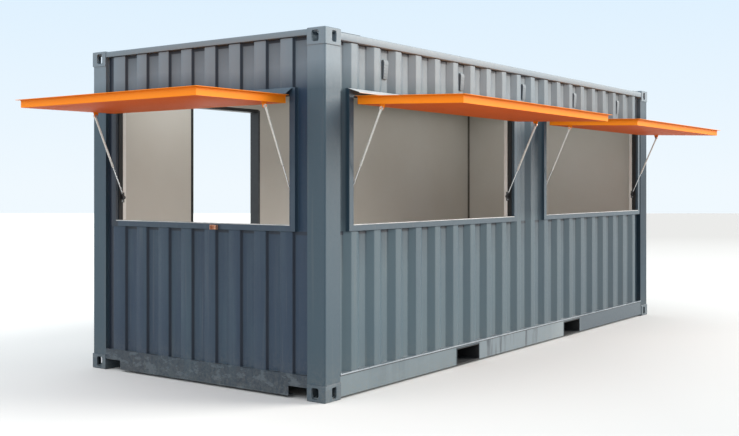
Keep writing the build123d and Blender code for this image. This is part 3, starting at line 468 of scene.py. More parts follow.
def softBox(width, height, radius, steps=3):
    # a rectangle's outline with round corners, anticlockwise from the lower right
    turn = np.linspace(0.0, np.pi / 2, steps + 1)
    arc = np.stack([np.cos(turn), np.sin(turn)], -1) * radius
    half = np.array([width, height]) / 2 - radius
    parts = []
    for signX, signY, quarter in ((1, 1, 0), (-1, 1, 1), (-1, -1, 2), (1, -1, 3)):
        angle = quarter * np.pi / 2
        spin = np.array([[np.cos(angle), np.sin(angle)], [-np.sin(angle), np.cos(angle)]])
        parts.append(arc @ spin + half * (signX, signY))
    return np.concatenate(parts)


def turned(profile, start, axis, sides):
    # a turned shape: ring(i) lies at start + axis * height(i) with radius(i); profile rows are (radius, height)
    profile = np.asarray(profile, float)
    axis = np.asarray(axis, float) / np.linalg.norm(axis)
    path = np.asarray(start, float) + profile[:, 1:] * axis
    up = np.array([1.0, 0.0, 0.0]) if abs(axis[0]) < 0.9 else np.array([0.0, 1.0, 0.0])
    side = np.cross(axis, up)
    side /= np.linalg.norm(side)
    lift = np.cross(side, axis)
    ring = circle(1.0, sides)
    return path[:, None] + profile[:, :1, None] * (ring[None, :, :1] * side + ring[None, :, 1:] * lift)


def facing(points, turn):
    # a hatch is drawn facing -Y; the end hatch turns to face -X: (x, y) becomes (y, -x)
    points = np.asarray(points, float)
    return np.stack([points[..., 1], -points[..., 0], points[..., 2]], -1) if turn else points


class Gather:
    # collects strips, then makes one mesh object of them
    def __init__(self):
        self.points, self.faces, self.count = [], [], 0

    def strip(self, grid, ringed=True, ends=True, flip=False):
        rows, cols = grid.shape[:2]
        quads = gridFaces(rows, cols, ringed) + self.count
        order = slice(None, None, -1) if flip else slice(None)
        self.faces += quads[:, order].tolist()
        if ends and ringed:
            first = np.arange(cols) + self.count
            last = first[::-1] + (rows - 1) * cols
            self.faces += [first[order].tolist(), last[order].tolist()]
        self.points.append(grid.reshape(-1, 3))
        self.count += rows * cols

    def bar(self, start, end, section, up, turn=False):
        # a straight bar with one ring at its middle
        start, end = np.array(start, float), np.array(end, float)
        self.strip(facing(carry([start, (start + end) / 2, end], section, up), turn))

    def lathe(self, profile, start, axis, sides):
        self.strip(turned(profile, start, axis, sides))

    def piece(self, name, material, slot, body="container", smooth=True):
        mesh = bpy.data.meshes.new(name)
        mesh.from_pydata(np.concatenate(self.points).tolist(), [], self.faces)
        mesh.materials.append(material)
        mesh.polygons.foreach_set("use_smooth", np.full(len(mesh.polygons), smooth))
        mesh.set_sharp_from_angle(angle=math.radians(38))
        mesh.update()
        made = show(name, mesh)
        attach(made, body)
        return made


# the container's own measures, as in the part's source
shell = dict(sideFace=1.214, endFace=3.024, crestY=1.204, crestX=3.014, railTop=0.178, topRail=2.514,
             sillTop=0.172, header=2.540, blindPost=-2.851, doorPost=2.825, endPost=1.057, castingX=3.012,
             castingY=1.202, castingLow=0.118, castingHigh=2.473, doorFrom=-2.010, doorTo=-1.095, doorTop=2.225,
             pockets=(-1.087, 0.963), pocketHalf=0.186, pocketLow=0.018, pocketHigh=0.155)
hatchPlan = {
    "first": dict(start=-2.745, end=-0.208, half=1.219, turn=False, body="first"),
    "second": dict(start=0.346, end=2.799, half=1.219, turn=False, body="second"),
    "end": dict(start=-0.985, end=0.945, half=3.029, turn=True, body="end"),
}
hatchSize = dict(top=2.185, bottom=1.173, face=0.050, sill=0.040, frameBack=0.005)
for plan in hatchPlan.values():
    plan["front"] = -(plan["half"] - hatchSize["frameBack"])
    plan["left"], plan["right"] = plan["start"] + hatchSize["face"], plan["end"] - hatchSize["face"]

# pressed waves: middle is one crest's place, bends are the half widths where a slope starts and ends
sideWave = dict(middle=0.128, pitch=0.28, bends=(0.036, 0.104), deep=0.036)
endWave = dict(middle=-0.107, pitch=0.25, bends=(0.058, 0.066), deep=0.024, marginFrom=0.838,
               margin=(0.995, 1.003))
roofWave = dict(middle=0.1045, pitch=0.209, bends=(0.0455, 0.059), deep=0.020)


def waveDepth(wave, at):
    # how far a sheet lies behind its crests: flat crest, slope, flat recess, once every pitch
    half = wave["pitch"] / 2
    away = np.abs((at - wave["middle"] + half) % wave["pitch"] - half)
    return np.interp(away, wave["bends"], [0.0, wave["deep"]])


def sideDepth(x):
    return waveDepth(sideWave, x)


def endDepth(y):
    # the blind end's sheet has a flat margin at +Y that ends in one recess
    margin = np.interp(y, endWave["margin"], [0.0, endWave["deep"]])
    return np.where(y < endWave["marginFrom"], waveDepth(endWave, y), margin)


# corrugated sheets: pressed plates with rounded bends that run from rail to rail round the openings
sheetLook = dict(thick=0.002, bend=0.006)


def roundedBends(fold, at):
    # the folded line, averaged over one bend's reach to either side
    reach = np.linspace(-sheetLook["bend"], sheetLook["bend"], 9)
    return np.mean([fold(at + step) for step in reach], axis=0)


def sheet(gather, x0, x1, low, high, face, fold, wave, middle, turn=False, back=False):
    # front(x) = face - fold(x), with points only where the sheet bends; the four edges of the plate are
    # front low, front high, back high and back low, carried along x
    pitch = wave["pitch"]
    count = np.arange(math.floor((x0 - middle) / pitch) - 1, math.ceil((x1 - middle) / pitch) + 2)
    bends = np.array([-wave["bends"][1], -wave["bends"][0], *wave["bends"]])
    near = sheetLook["bend"] * np.linspace(-1, 1, 5)
    x = (middle + count[:, None, None] * pitch + bends[None, :, None] + near).ravel()
    x = np.concatenate([[x0], np.sort(x[(x > x0 + 0.0004) & (x < x1 - 0.0004)]), [x1]])
    front = face - roundedBends(fold, x)
    inner = front - sheetLook["thick"]
    edges = ((front, low), (front, high), (inner, high), (inner, low))
    rows = np.stack([np.stack([x, -out, np.full(len(x), z)], -1) for out, z in edges], 1)
    if back:
        rows = rows * (1, -1, 1)
    gather.strip(facing(rows, turn), flip=back)


def sideSheet(gather, x0, x1, low, high, back=False):
    sheet(gather, x0, x1, low, high, shell["crestY"], sideDepth, sideWave, sideWave["middle"], back=back)


def endSheet(gather, y0, y1, low, high):
    # drawn facing -Y with x = -y, then turned
    sheet(gather, -y1, -y0, low, high, shell["crestX"], lambda x: endDepth(-x), endWave, -endWave["middle"],
          turn=True)


def wallSheets():
    low, high, top = hatchSize["bottom"], hatchSize["top"], shell["topRail"]
    first, second, end = (hatchPlan[name] for name in ("first", "second", "end"))
    left, right, edge = shell["blindPost"], shell["doorPost"], shell["endPost"]
    panels, piers = Gather(), Gather()
    sideSheet(panels, left, right, shell["railTop"], low)
    sideSheet(panels, left, right, high, top)
    for x0, x1 in ((left, first["start"]), (first["end"], second["start"]), (second["end"], right)):
        sideSheet(piers, x0, x1, low, high)
    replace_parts(panels.piece("side_sheets", sideSheetSheenPaint, "container_paint"), "side_wall_panels")
    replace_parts(piers.piece("side_sheets_between_hatches", sideSheetSheenPaint, "container_paint"), "side_wall_piers")
    panels, piers = Gather(), Gather()
    endSheet(panels, -edge, edge, shell["sillTop"], low)
    endSheet(panels, -edge, edge, high, shell["header"])
    endSheet(piers, -edge, -end["end"], low, high)
    endSheet(piers, -end["start"], edge, low, high)
    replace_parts(panels.piece("end_sheets", endSheetShadePaint, "container_paint"), "end_wall_panels")
    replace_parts(piers.piece("end_sheets_beside_hatch", endSheetShadePaint, "container_paint"), "end_wall_piers")
    panels, over = Gather(), Gather()
    sideSheet(panels, left, shell["doorFrom"], shell["railTop"], top, back=True)
    sideSheet(panels, shell["doorTo"], right, shell["railTop"], top, back=True)
    sideSheet(over, shell["doorFrom"], shell["doorTo"], shell["doorTop"], top, back=True)
    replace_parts(panels.piece("back_sheets", wallPaint, "container_paint"), "back_wall_panels")
    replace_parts(over.piece("back_sheet_over_door", wallPaint, "container_paint"), "back_wall_panel_over_door")


# top rails and headers: box sections with rounded corners
railLook = dict(height=0.056, depth=0.060, corner=0.006, length=5.702, headerHeight=0.045, stepHeight=0.033,
                stepBack=0.010, stepCorner=0.004, overlap=0.012)


def topRails():
    g = Gather()
    half, deep = railLook["length"] / 2, railLook["depth"]
    section = softBox(deep, railLook["height"], railLook["corner"])
    for side in (-1, 1):
        y, z = side * (shell["sideFace"] - deep / 2), shell["topRail"] + railLook["height"] / 2
        g.bar((-half, y, z), (half, y, z), section, (0, 0, 1))
    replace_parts(g.piece("rounded_top_rails", topRailPaint, "container_paint"), "top_side_rails")


def headers():
    # the door end's header keeps a stepped lower edge, which the cargo doors close against
    g = Gather()
    edge, face, deep, tall = shell["endPost"], shell["endFace"], railLook["depth"], railLook["headerHeight"]
    back, step = railLook["stepBack"], railLook["stepHeight"]
    section = softBox(deep, tall, railLook["corner"])
    for side in (-1, 1):
        x, z = side * (face - deep / 2), shell["header"] + tall / 2
        g.bar((x, -edge, z), (x, edge, z), section, (0, 0, 1))
    low = softBox(deep - back, step + railLook["overlap"], railLook["stepCorner"])
    x, z = face - back - (deep - back) / 2, shell["header"] - step / 2 + railLook["overlap"] / 2
    g.bar((x, -edge, z), (x, edge, z), low, (0, 0, 1))
    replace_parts(g.piece("rounded_end_headers", framePaint, "container_paint"), "end_headers")


# vents: small pressed boxes in the recesses under the top rail, deeper at the top, with ribs across the front
ventLook = dict(first=-2.252, pitch=1.120, count=5, width=0.058, low=2.292, high=2.434, front=1.190, foot=1.181,
                ribs=5, ribFrom=0.022, ribPitch=0.021, ribHalf=0.020)


def vents():
    # face(z) leans out from foot to front, then back over the rounded top edge
    boxes, ribs = Gather(), Gather()
    base, half = shell["crestY"] - sideWave["deep"], ventLook["width"] / 2
    low, high = ventLook["low"], ventLook["high"]
    z = np.array([low, low + 0.004, high - 0.020, high - 0.004, high])
    face = np.interp(z, [z[0], z[2], z[4]], [ventLook["foot"], ventLook["front"], ventLook["front"] - 0.007])
    rib = softBox(0.002, 0.006, 0.0008)
    for k in range(ventLook["count"]):
        middle = ventLook["first"] + k * ventLook["pitch"]
        grid = np.zeros((len(z), 6, 3))
        grid[..., 0] = middle + half * np.array([-1.0, 1.0, 1.0, 0.93, -0.93, -1.0])
        grid[..., 1] = -np.where([True, True, False, False, False, False], base,
                                 face[:, None] - np.array([0, 0, 0.004, 0, 0, 0.004]))
        grid[..., 2] = z[:, None]
        boxes.strip(grid, flip=True)
        for row in range(ventLook["ribs"]):
            level = low + ventLook["ribFrom"] + row * ventLook["ribPitch"]
            out = np.interp(level, [z[0], z[2]], [ventLook["foot"], ventLook["front"]])
            start, end = ((middle + way * ventLook["ribHalf"], -out, level) for way in (-1, 1))
            ribs.bar(start, end, rib, (0, 0, 1))
    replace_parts(boxes.piece("vent_boxes", ventPaint, "container_paint"), "side_vents")
    ribs.piece("vent_ribs", ventPaint, "container_paint", smooth=False)


# rain flashings: a bent strip over each hatch, mitred at its ends, with a rolled front edge
sideFlashing = dict(reach=0.064, fall=0.027, over=0.012, mitre=0.050)
flashLook = {"first": sideFlashing, "second": sideFlashing,
             "end": dict(reach=0.067, fall=0.043, over=-0.025, mitre=0.0)}


def flashings():
    # outline: from the frame out by reach and down by fall, then a rolled edge back underneath; towards the
    # ends x moves in by mitre times the share of the reach
    g = Gather()
    for name, plan in hatchPlan.items():
        look = flashLook[name]
        out, down = look["reach"], look["fall"]
        line = np.array([(0.0, 0.0), (out - 0.004, -down + 0.002), (out, -down - 0.001),
                         (out - 0.001, -down - 0.006), (out - 0.005, -down - 0.007), (out - 0.006, -down - 0.005),
                         (out - 0.003, -down - 0.0035), (out - 0.006, -down - 0.0005), (0.0, -0.0028)])
        share = np.clip(line[:, 0] / out, 0, 1)
        x0, x1 = plan["start"] - look["over"], plan["end"] + look["over"]
        rows = [np.column_stack([x + way * share * look["mitre"], plan["front"] - line[:, 0],
                                 hatchSize["top"] + line[:, 1]])
                for x, way in ((x0, 1), (x0 + 0.10, 0), ((x0 + x1) / 2, 0), (x1 - 0.10, 0), (x1, -1))]
        g.strip(facing(np.stack(rows), plan["turn"]), flip=True)
    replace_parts(g.piece("rolled_flashings", flashingPaint, "container_paint"), "rain_flashings")


# bottom rail lip: a worn, rounded edge along the top of each bottom rail, pale as a painted highlight, with a dark
# strip under it as a painted shadow line, and one worn drop of weld at the near post
lipEdge = dict(z=0.1725, high=0.011, out=0.0045, shadowLineZ=0.1645, drop=(0.008, -1.2135, 0.1790))


def railLips():
    g, joint = Gather(), Gather()
    nose = softBox(lipEdge["out"] * 2, lipEdge["high"], 0.0036)
    line = softBox(0.0016, 0.0045, 0.0006)
    for side in (-1, 1):
        y = side * shell["sideFace"]
        for gather, z, section in ((g, lipEdge["z"], nose), (joint, lipEdge["shadowLineZ"], line)):
            gather.bar((shell["blindPost"], y, z), (shell["doorPost"], y, z), section, (0, 0, 1))
    bead = [(0.002, -0.006), (0.006, -0.004), (0.0075, 0.0), (0.006, 0.0035), (0.002, 0.0045)]
    x, y, z = lipEdge["drop"]
    g.lathe(bead, (shell["blindPost"] + x, y, z), (0, -1, 0), 12)
    g.piece("bottom_rail_lips", wornLitEdge, "container_paint")
    joint.piece("bottom_rail_shadow_lines", sealRubber, "black_rubber", smooth=False)


# sill nosings: a strip along each hatch's sill, over the seal's lower run, near white as a painted highlight on
# the sill's top edge
nosingLook = dict(front=0.0003, depth=0.036, high=0.0062, corner=0.0026, endGap=0.0005)


def sillNosings():
    g = Gather()
    section = softBox(nosingLook["depth"], nosingLook["high"], nosingLook["corner"])
    for plan in hatchPlan.values():
        z = hatchSize["bottom"] + hatchSize["sill"] + nosingLook["high"] / 2
        y = plan["front"] + nosingLook["depth"] / 2 + nosingLook["front"]
        g.bar((plan["left"] + nosingLook["endGap"], y, z), (plan["right"] - nosingLook["endGap"], y, z), section,
              (0, 0, 1), plan["turn"])
    g.piece("sill_nosings", nosingHighlight, "container_paint")


# reveal trims: white strips over the lining boards' cut edges at each hatch's jambs, brighter than the other trims
# as a painted highlight
revealLook = dict(wide=0.034, thick=0.002, back=0.0875, fromSill=0.007, fromHead=0.001)


def revealTrims():
    g = Gather()
    section = softBox(revealLook["wide"], revealLook["thick"], 0.0008)
    low = hatchSize["bottom"] + hatchSize["sill"] + revealLook["fromSill"]
    high = hatchSize["top"] - hatchSize["face"] - revealLook["fromHead"]
    for plan in hatchPlan.values():
        y = plan["front"] + revealLook["back"]
        for x in (plan["left"] + revealLook["thick"] / 2, plan["right"] - revealLook["thick"] / 2):
            g.bar((x, y, low), (x, y, high), section, (1, 0, 0), plan["turn"])
    g.piece("hatch_reveal_trims", trimHighlightWhite, "white_lining")


# draught strip: a dark rubber strip round the head and the near side of the doorway, on the lining
draughtLook = dict(wide=0.030, thick=0.005, left=-1.988, right=-1.117, low=0.19, head=2.203, y=1.109)


def draughtStrip():
    g = Gather()
    y, half, head = draughtLook["y"], draughtLook["wide"] / 2, draughtLook["head"]
    section = softBox(draughtLook["wide"], draughtLook["thick"], 0.002)
    x = draughtLook["left"] - half
    g.bar((x, y, draughtLook["low"]), (x, y, head + half * 2), section, (0, 1, 0))
    g.bar((draughtLook["left"], y, head + half), (draughtLook["right"], y, head + half), section, (0, 1, 0))
    g.piece("doorway_draught_strip", sealRubber, "black_rubber")


wallSheets()
topRails()
headers()
vents()
flashings()
railLips()
sillNosings()
draughtStrip()
revealTrims()
print("sheets, rails, vents and flashings")


# weld seams: a small bead with ripples laid along every joint of the shell
seamLook = dict(radius=0.0032, sides=6, step=0.0035, ripple=0.010, swell=0.22, uneven=0.03, neck=1.3, thicker=1.2,
                footLow=0.02, capLow=2.518, capHigh=2.566, headerTop=2.583, roofX=2.85, roofY=1.154, roof=1.1,
                clear=0.002, outside=0.001)
sealantLook = dict(bead=1.3, back=0.003, under=0.0002, strip=(0.005, 0.003, 0.001))


def seam(gather, points, up, size=1.0):
    # radius(s) = radius * (1 + swell * |sin(pi s / ripple)| + a little seeded unevenness)
    path = resample(points, seamLook["step"])
    s = np.arange(len(path)) * seamLook["step"]
    ripples = seamLook["swell"] * np.abs(np.sin(np.pi * s / seamLook["ripple"]))
    scale = 1 + ripples + dice.normal(0, seamLook["uneven"], len(path))
    gather.strip(carry(path, circle(seamLook["radius"] * size, seamLook["sides"]), up, scale))


def sideWaveLine(x0, x1, z, sign):
    x = np.arange(x0, x1, 0.004)
    return np.stack([x, sign * (shell["crestY"] - sideDepth(x)), np.full(len(x), z)], -1)


def endWaveLine(y0, y1, z):
    y = np.arange(y0, y1, 0.003)
    return np.stack([-(shell["crestX"] - endDepth(y)), y, np.full(len(y), z)], -1)


def sideUpright(gather, x, low, high, sign):
    y = sign * (shell["crestY"] - sideDepth(np.array(x)))
    seam(gather, [(x, y, low), (x, y, high)], (0, 1, 0))


def endUpright(gather, y, low, high):
    x = -(shell["crestX"] - endDepth(np.array(y)))
    seam(gather, [(x, y, low), (x, y, high)], (1, 0, 0))


def sideSeams(sign):
    # along the rails, up the posts, round each casting's neck, and round the fork pockets in front
    g = Gather()
    edge, left, right = sign * shell["sideFace"], shell["blindPost"], shell["doorPost"]
    clear, thicker = seamLook["clear"], seamLook["thicker"]
    runs = [(left, right)] if sign < 0 else [(left, shell["doorFrom"] - clear), (shell["doorTo"] + clear, right)]
    for x0, x1 in runs:
        seam(g, sideWaveLine(x0, x1, shell["railTop"], sign), (0, 0, 1))
    for x in (left + clear, right - clear):
        sideUpright(g, x, shell["railTop"], shell["topRail"], sign)
    for x0, x1 in ((-shell["castingX"], left), (right, shell["castingX"])):
        for z in (shell["castingLow"], shell["castingHigh"]):
            seam(g, [(x0, edge, z), (x1, edge, z)], (0, 0, 1), seamLook["neck"])
    for x in (left, -left):
        for z0, z1 in ((seamLook["footLow"], shell["castingLow"]), (seamLook["capLow"], seamLook["capHigh"])):
            seam(g, [(x, edge, z0), (x, edge, z1)], (0, 1, 0), thicker)
    half, low, high = shell["pocketHalf"], shell["pocketLow"], shell["pocketHigh"]
    for middle in shell["pockets"] if sign < 0 else ():
        ring = [(-half, low), (-half, high), (half, high), (half, low)]
        seam(g, [(middle + x, edge, z) for x, z in ring], (0, 1, 0))
    g.piece("weld_seams_front" if sign < 0 else "weld_seams_back", seamPaint, "container_paint")


def endSeams():
    g = Gather()
    edge, out, thicker = shell["endPost"], shell["endFace"] - seamLook["outside"], seamLook["thicker"]
    seam(g, endWaveLine(-edge, edge, shell["sillTop"]), (0, 0, 1))
    for y in (-edge + seamLook["clear"], edge - seamLook["clear"]):
        endUpright(g, y, shell["sillTop"], shell["header"])
    for side in (-1, 1):
        for x in (-out, out):
            for z in (shell["castingLow"], shell["castingHigh"]):
                seam(g, [(x, side * shell["castingY"], z), (x, side * edge, z)], (0, 0, 1), thicker)
            y = side * edge
            seam(g, [(x, y, shell["header"]), (x, y, seamLook["headerTop"])], (1, 0, 0), thicker)
    g.piece("weld_seams_ends", seamPaint, "container_paint")


def topSealantShade():
    # a dark sealant bead where the sheets meet the top rails and the blind end's header, and a strip under that
    # header; both also stand for the shadow line there, as painted shade
    g = Gather()
    edge, header, bead = shell["endPost"], shell["header"], sealantLook["bead"]
    for sign in (-1, 1):
        seam(g, sideWaveLine(shell["blindPost"], shell["doorPost"], shell["topRail"], sign), (0, 0, 1), bead)
    seam(g, endWaveLine(-edge, edge, header), (0, 0, 1), bead)
    x, z = -shell["endFace"] + sealantLook["back"], header - sealantLook["under"]
    g.bar((x, -edge, z), (x, edge, z), softBox(*sealantLook["strip"]), (0, 0, 1))
    g.piece("top_sealant_shade", darkSealantShade, "black_rubber")


def hatchSeams(name, plan):
    # round the outside of a hatch's frame, following the waves above and below it
    g = Gather()
    out = seamLook["outside"]
    low, high = hatchSize["bottom"] - out, hatchSize["top"] + out
    if plan["turn"]:
        y0, y1 = -plan["end"], -plan["start"]
        for z in (low, high):
            seam(g, endWaveLine(y0, y1, z), (0, 0, 1))
        for y in (y0 - out, y1 + out):
            endUpright(g, y, low, high)
    else:
        for z in (low, high):
            seam(g, sideWaveLine(plan["start"], plan["end"], z, -1), (0, 0, 1))
        for x in (plan["start"] - out, plan["end"] + out):
            sideUpright(g, x, low, high, -1)
    g.piece(name + "_hatch_weld_seams", seamPaint, "container_paint")


def roofSeams():
    # along both rails over the ends of the roof's waves
    g = Gather()
    x = np.arange(-seamLook["roofX"], seamLook["roofX"], 0.004)
    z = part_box("roof_panel")[1].z - waveDepth(roofWave, x)
    for side in (-1, 1):
        seam(g, np.stack([x, np.full(len(x), side * seamLook["roofY"]), z], -1), (0, 0, 1), seamLook["roof"])
    g.piece("weld_seams_roof", seamPaint, "container_paint")


sideSeams(-1)
sideSeams(1)
endSeams()
topSealantShade()
roofSeams()
for name, plan in hatchPlan.items():
    hatchSeams(name, plan)
print("weld seams")


# rubber lips at the front edge of each hatch's seal, carried round the opening with round corners
lipLook = dict(radius=0.003, setback=0.030, inset=0.004, corner=0.014, sides=10)


def sealLip(name, plan):
    inset = lipLook["inset"]
    left, right = plan["left"] + inset, plan["right"] - inset
    low = hatchSize["bottom"] + hatchSize["sill"] + inset
    high = hatchSize["top"] - hatchSize["face"] - inset
    outline = softBox(right - left, high - low, lipLook["corner"], 6) + ((left + right) / 2, (low + high) / 2)
    outline = np.concatenate([outline, outline[:1]])
    depth = np.full(len(outline), plan["front"] + lipLook["setback"])
    path = resample(np.stack([outline[:, 0], depth, outline[:, 1]], -1), 0.02)[:-1]
    g = Gather()
    ring = circle(lipLook["radius"], lipLook["sides"])
    g.strip(facing(carry(path, ring, (0, 1, 0), closed=True), plan["turn"]), ends=False)
    g.piece(name + "_seal_lip", sealRubber, "black_rubber")


for name, plan in hatchPlan.items():
    sealLip(name, plan)
print("seal lips")


# gas struts: gland caps and collars on the tubes, black ball ends on the rods, washers and nuts on the lugs;
# open gives each strut's length and its lean in degrees with the flap open
strutLook = dict(footOut=0.069, footZ=1.400, fromJamb=0.022, tube=0.440, tubeRadius=0.008, nutOut=0.016,
                 nutWide=0.016, nutDeep=0.007)
strutOpen = {"first": (0.700365, 24.452), "second": (0.700365, 24.452), "end": (0.706818, 24.4366)}


def strutLine(name, plan, side):
    # the foot, the upward direction, the length and the inward direction of one strut in the open pose
    x = plan["left"] + strutLook["fromJamb"] if side < 0 else plan["right"] - strutLook["fromJamb"]
    length, lean = strutOpen[name]
    lean = math.radians(lean)
    foot = facing((x, -(plan["half"] - strutLook["footOut"]), strutLook["footZ"]), plan["turn"])
    along = facing((0.0, -math.sin(lean), math.cos(lean)), plan["turn"])
    return foot, along, length, facing((-side, 0.0, 0.0), plan["turn"])


def strutFittings(name, plan):
    caps, feet = Gather(), Gather()
    radius = strutLook["tubeRadius"] + 0.0006
    gland = [(0.0046, -0.004), (0.0062, -0.004), (radius, -0.001), (radius, 0.014), (radius + 0.0008, 0.016),
             (radius + 0.0008, 0.020), (radius, 0.022), (radius - 0.0004, 0.024)]
    collar = [(0.0056, -0.030), (0.0086, -0.028), (0.0092, -0.020), (0.0092, -0.004), (0.0082, 0.0)]
    shank = [(0.0044, 0.008), (0.0078, 0.010), (0.0082, 0.016), (0.0082, 0.032), (0.0072, 0.036), (0.0046, 0.038)]
    eye = [(0.0064, -0.0074), (0.0130, -0.0074), (0.0138, -0.0066), (0.0138, 0.0066), (0.0130, 0.0074),
           (0.0064, 0.0074)]
    for side in (-1, 1):
        foot, along, length, inwards = strutLine(name, plan, side)
        caps.lathe(gland, foot + along * (length - strutLook["tube"]), along, 20)
        caps.lathe(collar, foot + along * (length - 0.010), along, 20)
        feet.lathe(shank, foot, along, 20)
        feet.lathe(eye, foot, facing((1.0, 0.0, 0.0), plan["turn"]), 28)
    caps.piece(name + "_strut_tube_caps", strutSilver, "silver_strut", plan["body"] + "_tubes")
    feet.piece(name + "_strut_rod_ends", blackSteel, "black_steel", plan["body"] + "_rods")


def nutOn(gather, centre, axis, width, depth):
    # a hexagon nut with a washer under it: six flats, bevelled faces, and the pin's domed end
    washer = [(0.30, 0.0), (0.78, 0.0), (0.80, 0.0008), (0.78, 0.0016), (0.30, 0.0016)]
    hexagon = [(0.50, 0.0016), (0.56, 0.0024), (0.56, depth), (0.50, depth + 0.0008)]
    dome = [(0.26, depth), (0.26, depth + 0.0024), (0.20, depth + 0.0036), (0.08, depth + 0.0042)]
    for profile, sides in ((washer, 24), (hexagon, 6), (dome, 16)):
        gather.lathe(np.array(profile) * (width, 1.0), centre, axis, sides)


def strutNuts(name, plan):
    # on the outer side of each flap lug, which stands inside the strut towards the middle of the flap
    g = Gather()
    for side in (-1, 1):
        foot, along, length, inwards = strutLine(name, plan, side)
        nutOn(g, foot + along * length + inwards * strutLook["nutOut"], inwards, strutLook["nutWide"],
              strutLook["nutDeep"])
    g.piece(name + "_lug_nuts", zincSteel, "galvanised_steel", plan["body"] + "_flap", smooth=False)


for name, plan in hatchPlan.items():
    strutFittings(name, plan)
    strutNuts(name, plan)
print("strut fittings")


# lining: dark trims up the corners of the room, pale strips over the board joints, and a skirting
roomLook = dict(x0=-2.919, x1=2.905, y=1.109, floor=0.178, ceiling=2.436, joints=(-1.92, -0.72, 0.48, 1.68),
                underHatches=1.17, strip=(0.034, 0.004, 0.0015))


def cornerTrims():
    # a quarter-hollow strip stands in each corner of the room; its dark grey is partly its own tone and partly
    # painted shade for the corner
    section = np.array([(0.0, 0.0), (0.018, 0.0), (0.018, 0.0018), (0.009, 0.0045), (0.0045, 0.009),
                        (0.0018, 0.018), (0.0, 0.018)])
    g = Gather()
    for x, sx in ((roomLook["x0"], 1), (roomLook["x1"], -1)):
        for y, sy in ((-roomLook["y"], 1), (roomLook["y"], -1)):
            corner = section * (sx, sy) + (x, y)
            rows = [np.column_stack([corner, np.full(len(corner), z)])
                    for z in (roomLook["floor"], 1.3, roomLook["ceiling"])]
            g.strip(np.stack(rows), flip=sx * sy > 0)
    g.piece("corner_trims", trimGreyShade, "dark_frame_paint", smooth=False)


def jointStrips():
    # flat strips with rounded edges over the joints of the ceiling's, the front's and the door end's boards
    g = Gather()
    y, low, high = roomLook["y"], roomLook["floor"], roomLook["ceiling"]
    strip = softBox(*roomLook["strip"])
    for x in roomLook["joints"]:
        g.bar((x, -y, high), (x, y, high), strip, (0, 0, 1))
    for x in roomLook["joints"][1:]:
        g.bar((x, -y, low), (x, -y, roomLook["underHatches"]), strip, (0, 1, 0))
    g.bar((roomLook["x1"], 0, low), (roomLook["x1"], 0, high), strip, (1, 0, 0))
    g.piece("lining_joint_strips", trimWhite, "white_lining")


def skirting():
    # a 70 mm board with a rounded top round the room, broken at the doorway
    section = np.array([(0.0, 0.0), (-0.009, 0.0), (-0.009, 0.062), (-0.0075, 0.067), (-0.004, 0.070),
                        (0.0, 0.070)])
    x0, x1, y, z = roomLook["x0"], roomLook["x1"], roomLook["y"], roomLook["floor"]
    corners = [(shell["doorFrom"], y), (x0, y), (x0, -y), (x1, -y), (x1, y), (shell["doorTo"], y)]
    g = Gather()
    for start, end in zip(corners[:-1], corners[1:]):
        g.strip(carry(resample([(*start, z), (*end, z)], 0.4), section, (0, 0, 1)), flip=True)
    g.piece("skirting_boards", trimWhite, "white_lining", smooth=False)


cornerTrims()
jointStrips()
skirting()
print("lining trims")


# button heads on the strut brackets, two on each plate, low enough for the strut to swing past
buttonLook = dict(plate=0.008, apart=0.029, profile=[
    (0.0030, 0.0), (0.0070, 0.0), (0.0070, 0.0010), (0.0060, 0.0028), (0.0042, 0.0040), (0.0022, 0.0042),
    (0.0018, 0.0022), (0.0008, 0.0022)])


def bracketBolts():
    g = Gather()
    for name, plan in hatchPlan.items():
        for side in (-1, 1):
            foot, along, length, inwards = strutLine(name, plan, side)
            plate = foot - inwards * (strutLook["fromJamb"] - buttonLook["plate"])
            for lift in (-buttonLook["apart"], buttonLook["apart"]):
                g.lathe(buttonLook["profile"], plate + (0, 0, lift), inwards, 18)
    g.piece("bracket_bolts", zincSteel, "galvanised_steel")


# cargo doors: rubber lips, hinge pins and bolts, cams and keepers on the bars, and a catch for each handle
cargoLook = dict(face=2.979, low=0.172, high=2.507, inner=0.005, outer=1.052, barX=2.999, bars=(0.235, 0.822),
                 bearings=(0.262, 1.3395, 2.417), front=3.0178, bearingBolt=0.021, hinges=4, hingeInset=0.2,
                 pinIn=0.012, pinOut=0.012, bolts=(0.070, 0.120, 0.170), boltOut=0.008, cheek=0.036,
                 cheekHigh=0.044)
rubberLook = dict(wide=0.020, thick=0.004, outside=0.0015, margin=(0.012, 0.022), corner=0.03)
handleLook = dict(z=1.150, x=3.0150, grip=(0.27, 0.35, 0.41), catch=0.200, catchX=(2.979, 3.0, 3.0215),
                  lift=0.0225, latchX=3.0205, latchHalf=0.030)


def upright(gather, x, y, z0, z1, wide, deep):
    # a small soft-edged plate: wide along X, deep along Y
    gather.bar((x, y, z0), (x, y, z1), softBox(wide, deep, 0.0018), (0, 1, 0))


def cargoRubber():
    g = Gather()
    look = cargoLook
    section = softBox(rubberLook["wide"], rubberLook["thick"], 0.0015)
    wide = look["outer"] - look["inner"] - rubberLook["margin"][0]
    high = look["high"] - look["low"] - rubberLook["margin"][1]
    for side in (-1, 1):
        middle = side * (look["inner"] + look["outer"]) / 2, (look["low"] + look["high"]) / 2
        outline = softBox(wide, high, rubberLook["corner"], 5) + middle
        outline = np.concatenate([outline, outline[:1]])
        points = np.column_stack([np.full(len(outline), look["face"] + rubberLook["outside"]), outline])
        g.strip(carry(resample(points, 0.05)[:-1], section, (1, 0, 0), closed=True), ends=False)
    g.piece("cargo_door_rubber", sealRubber, "black_rubber")


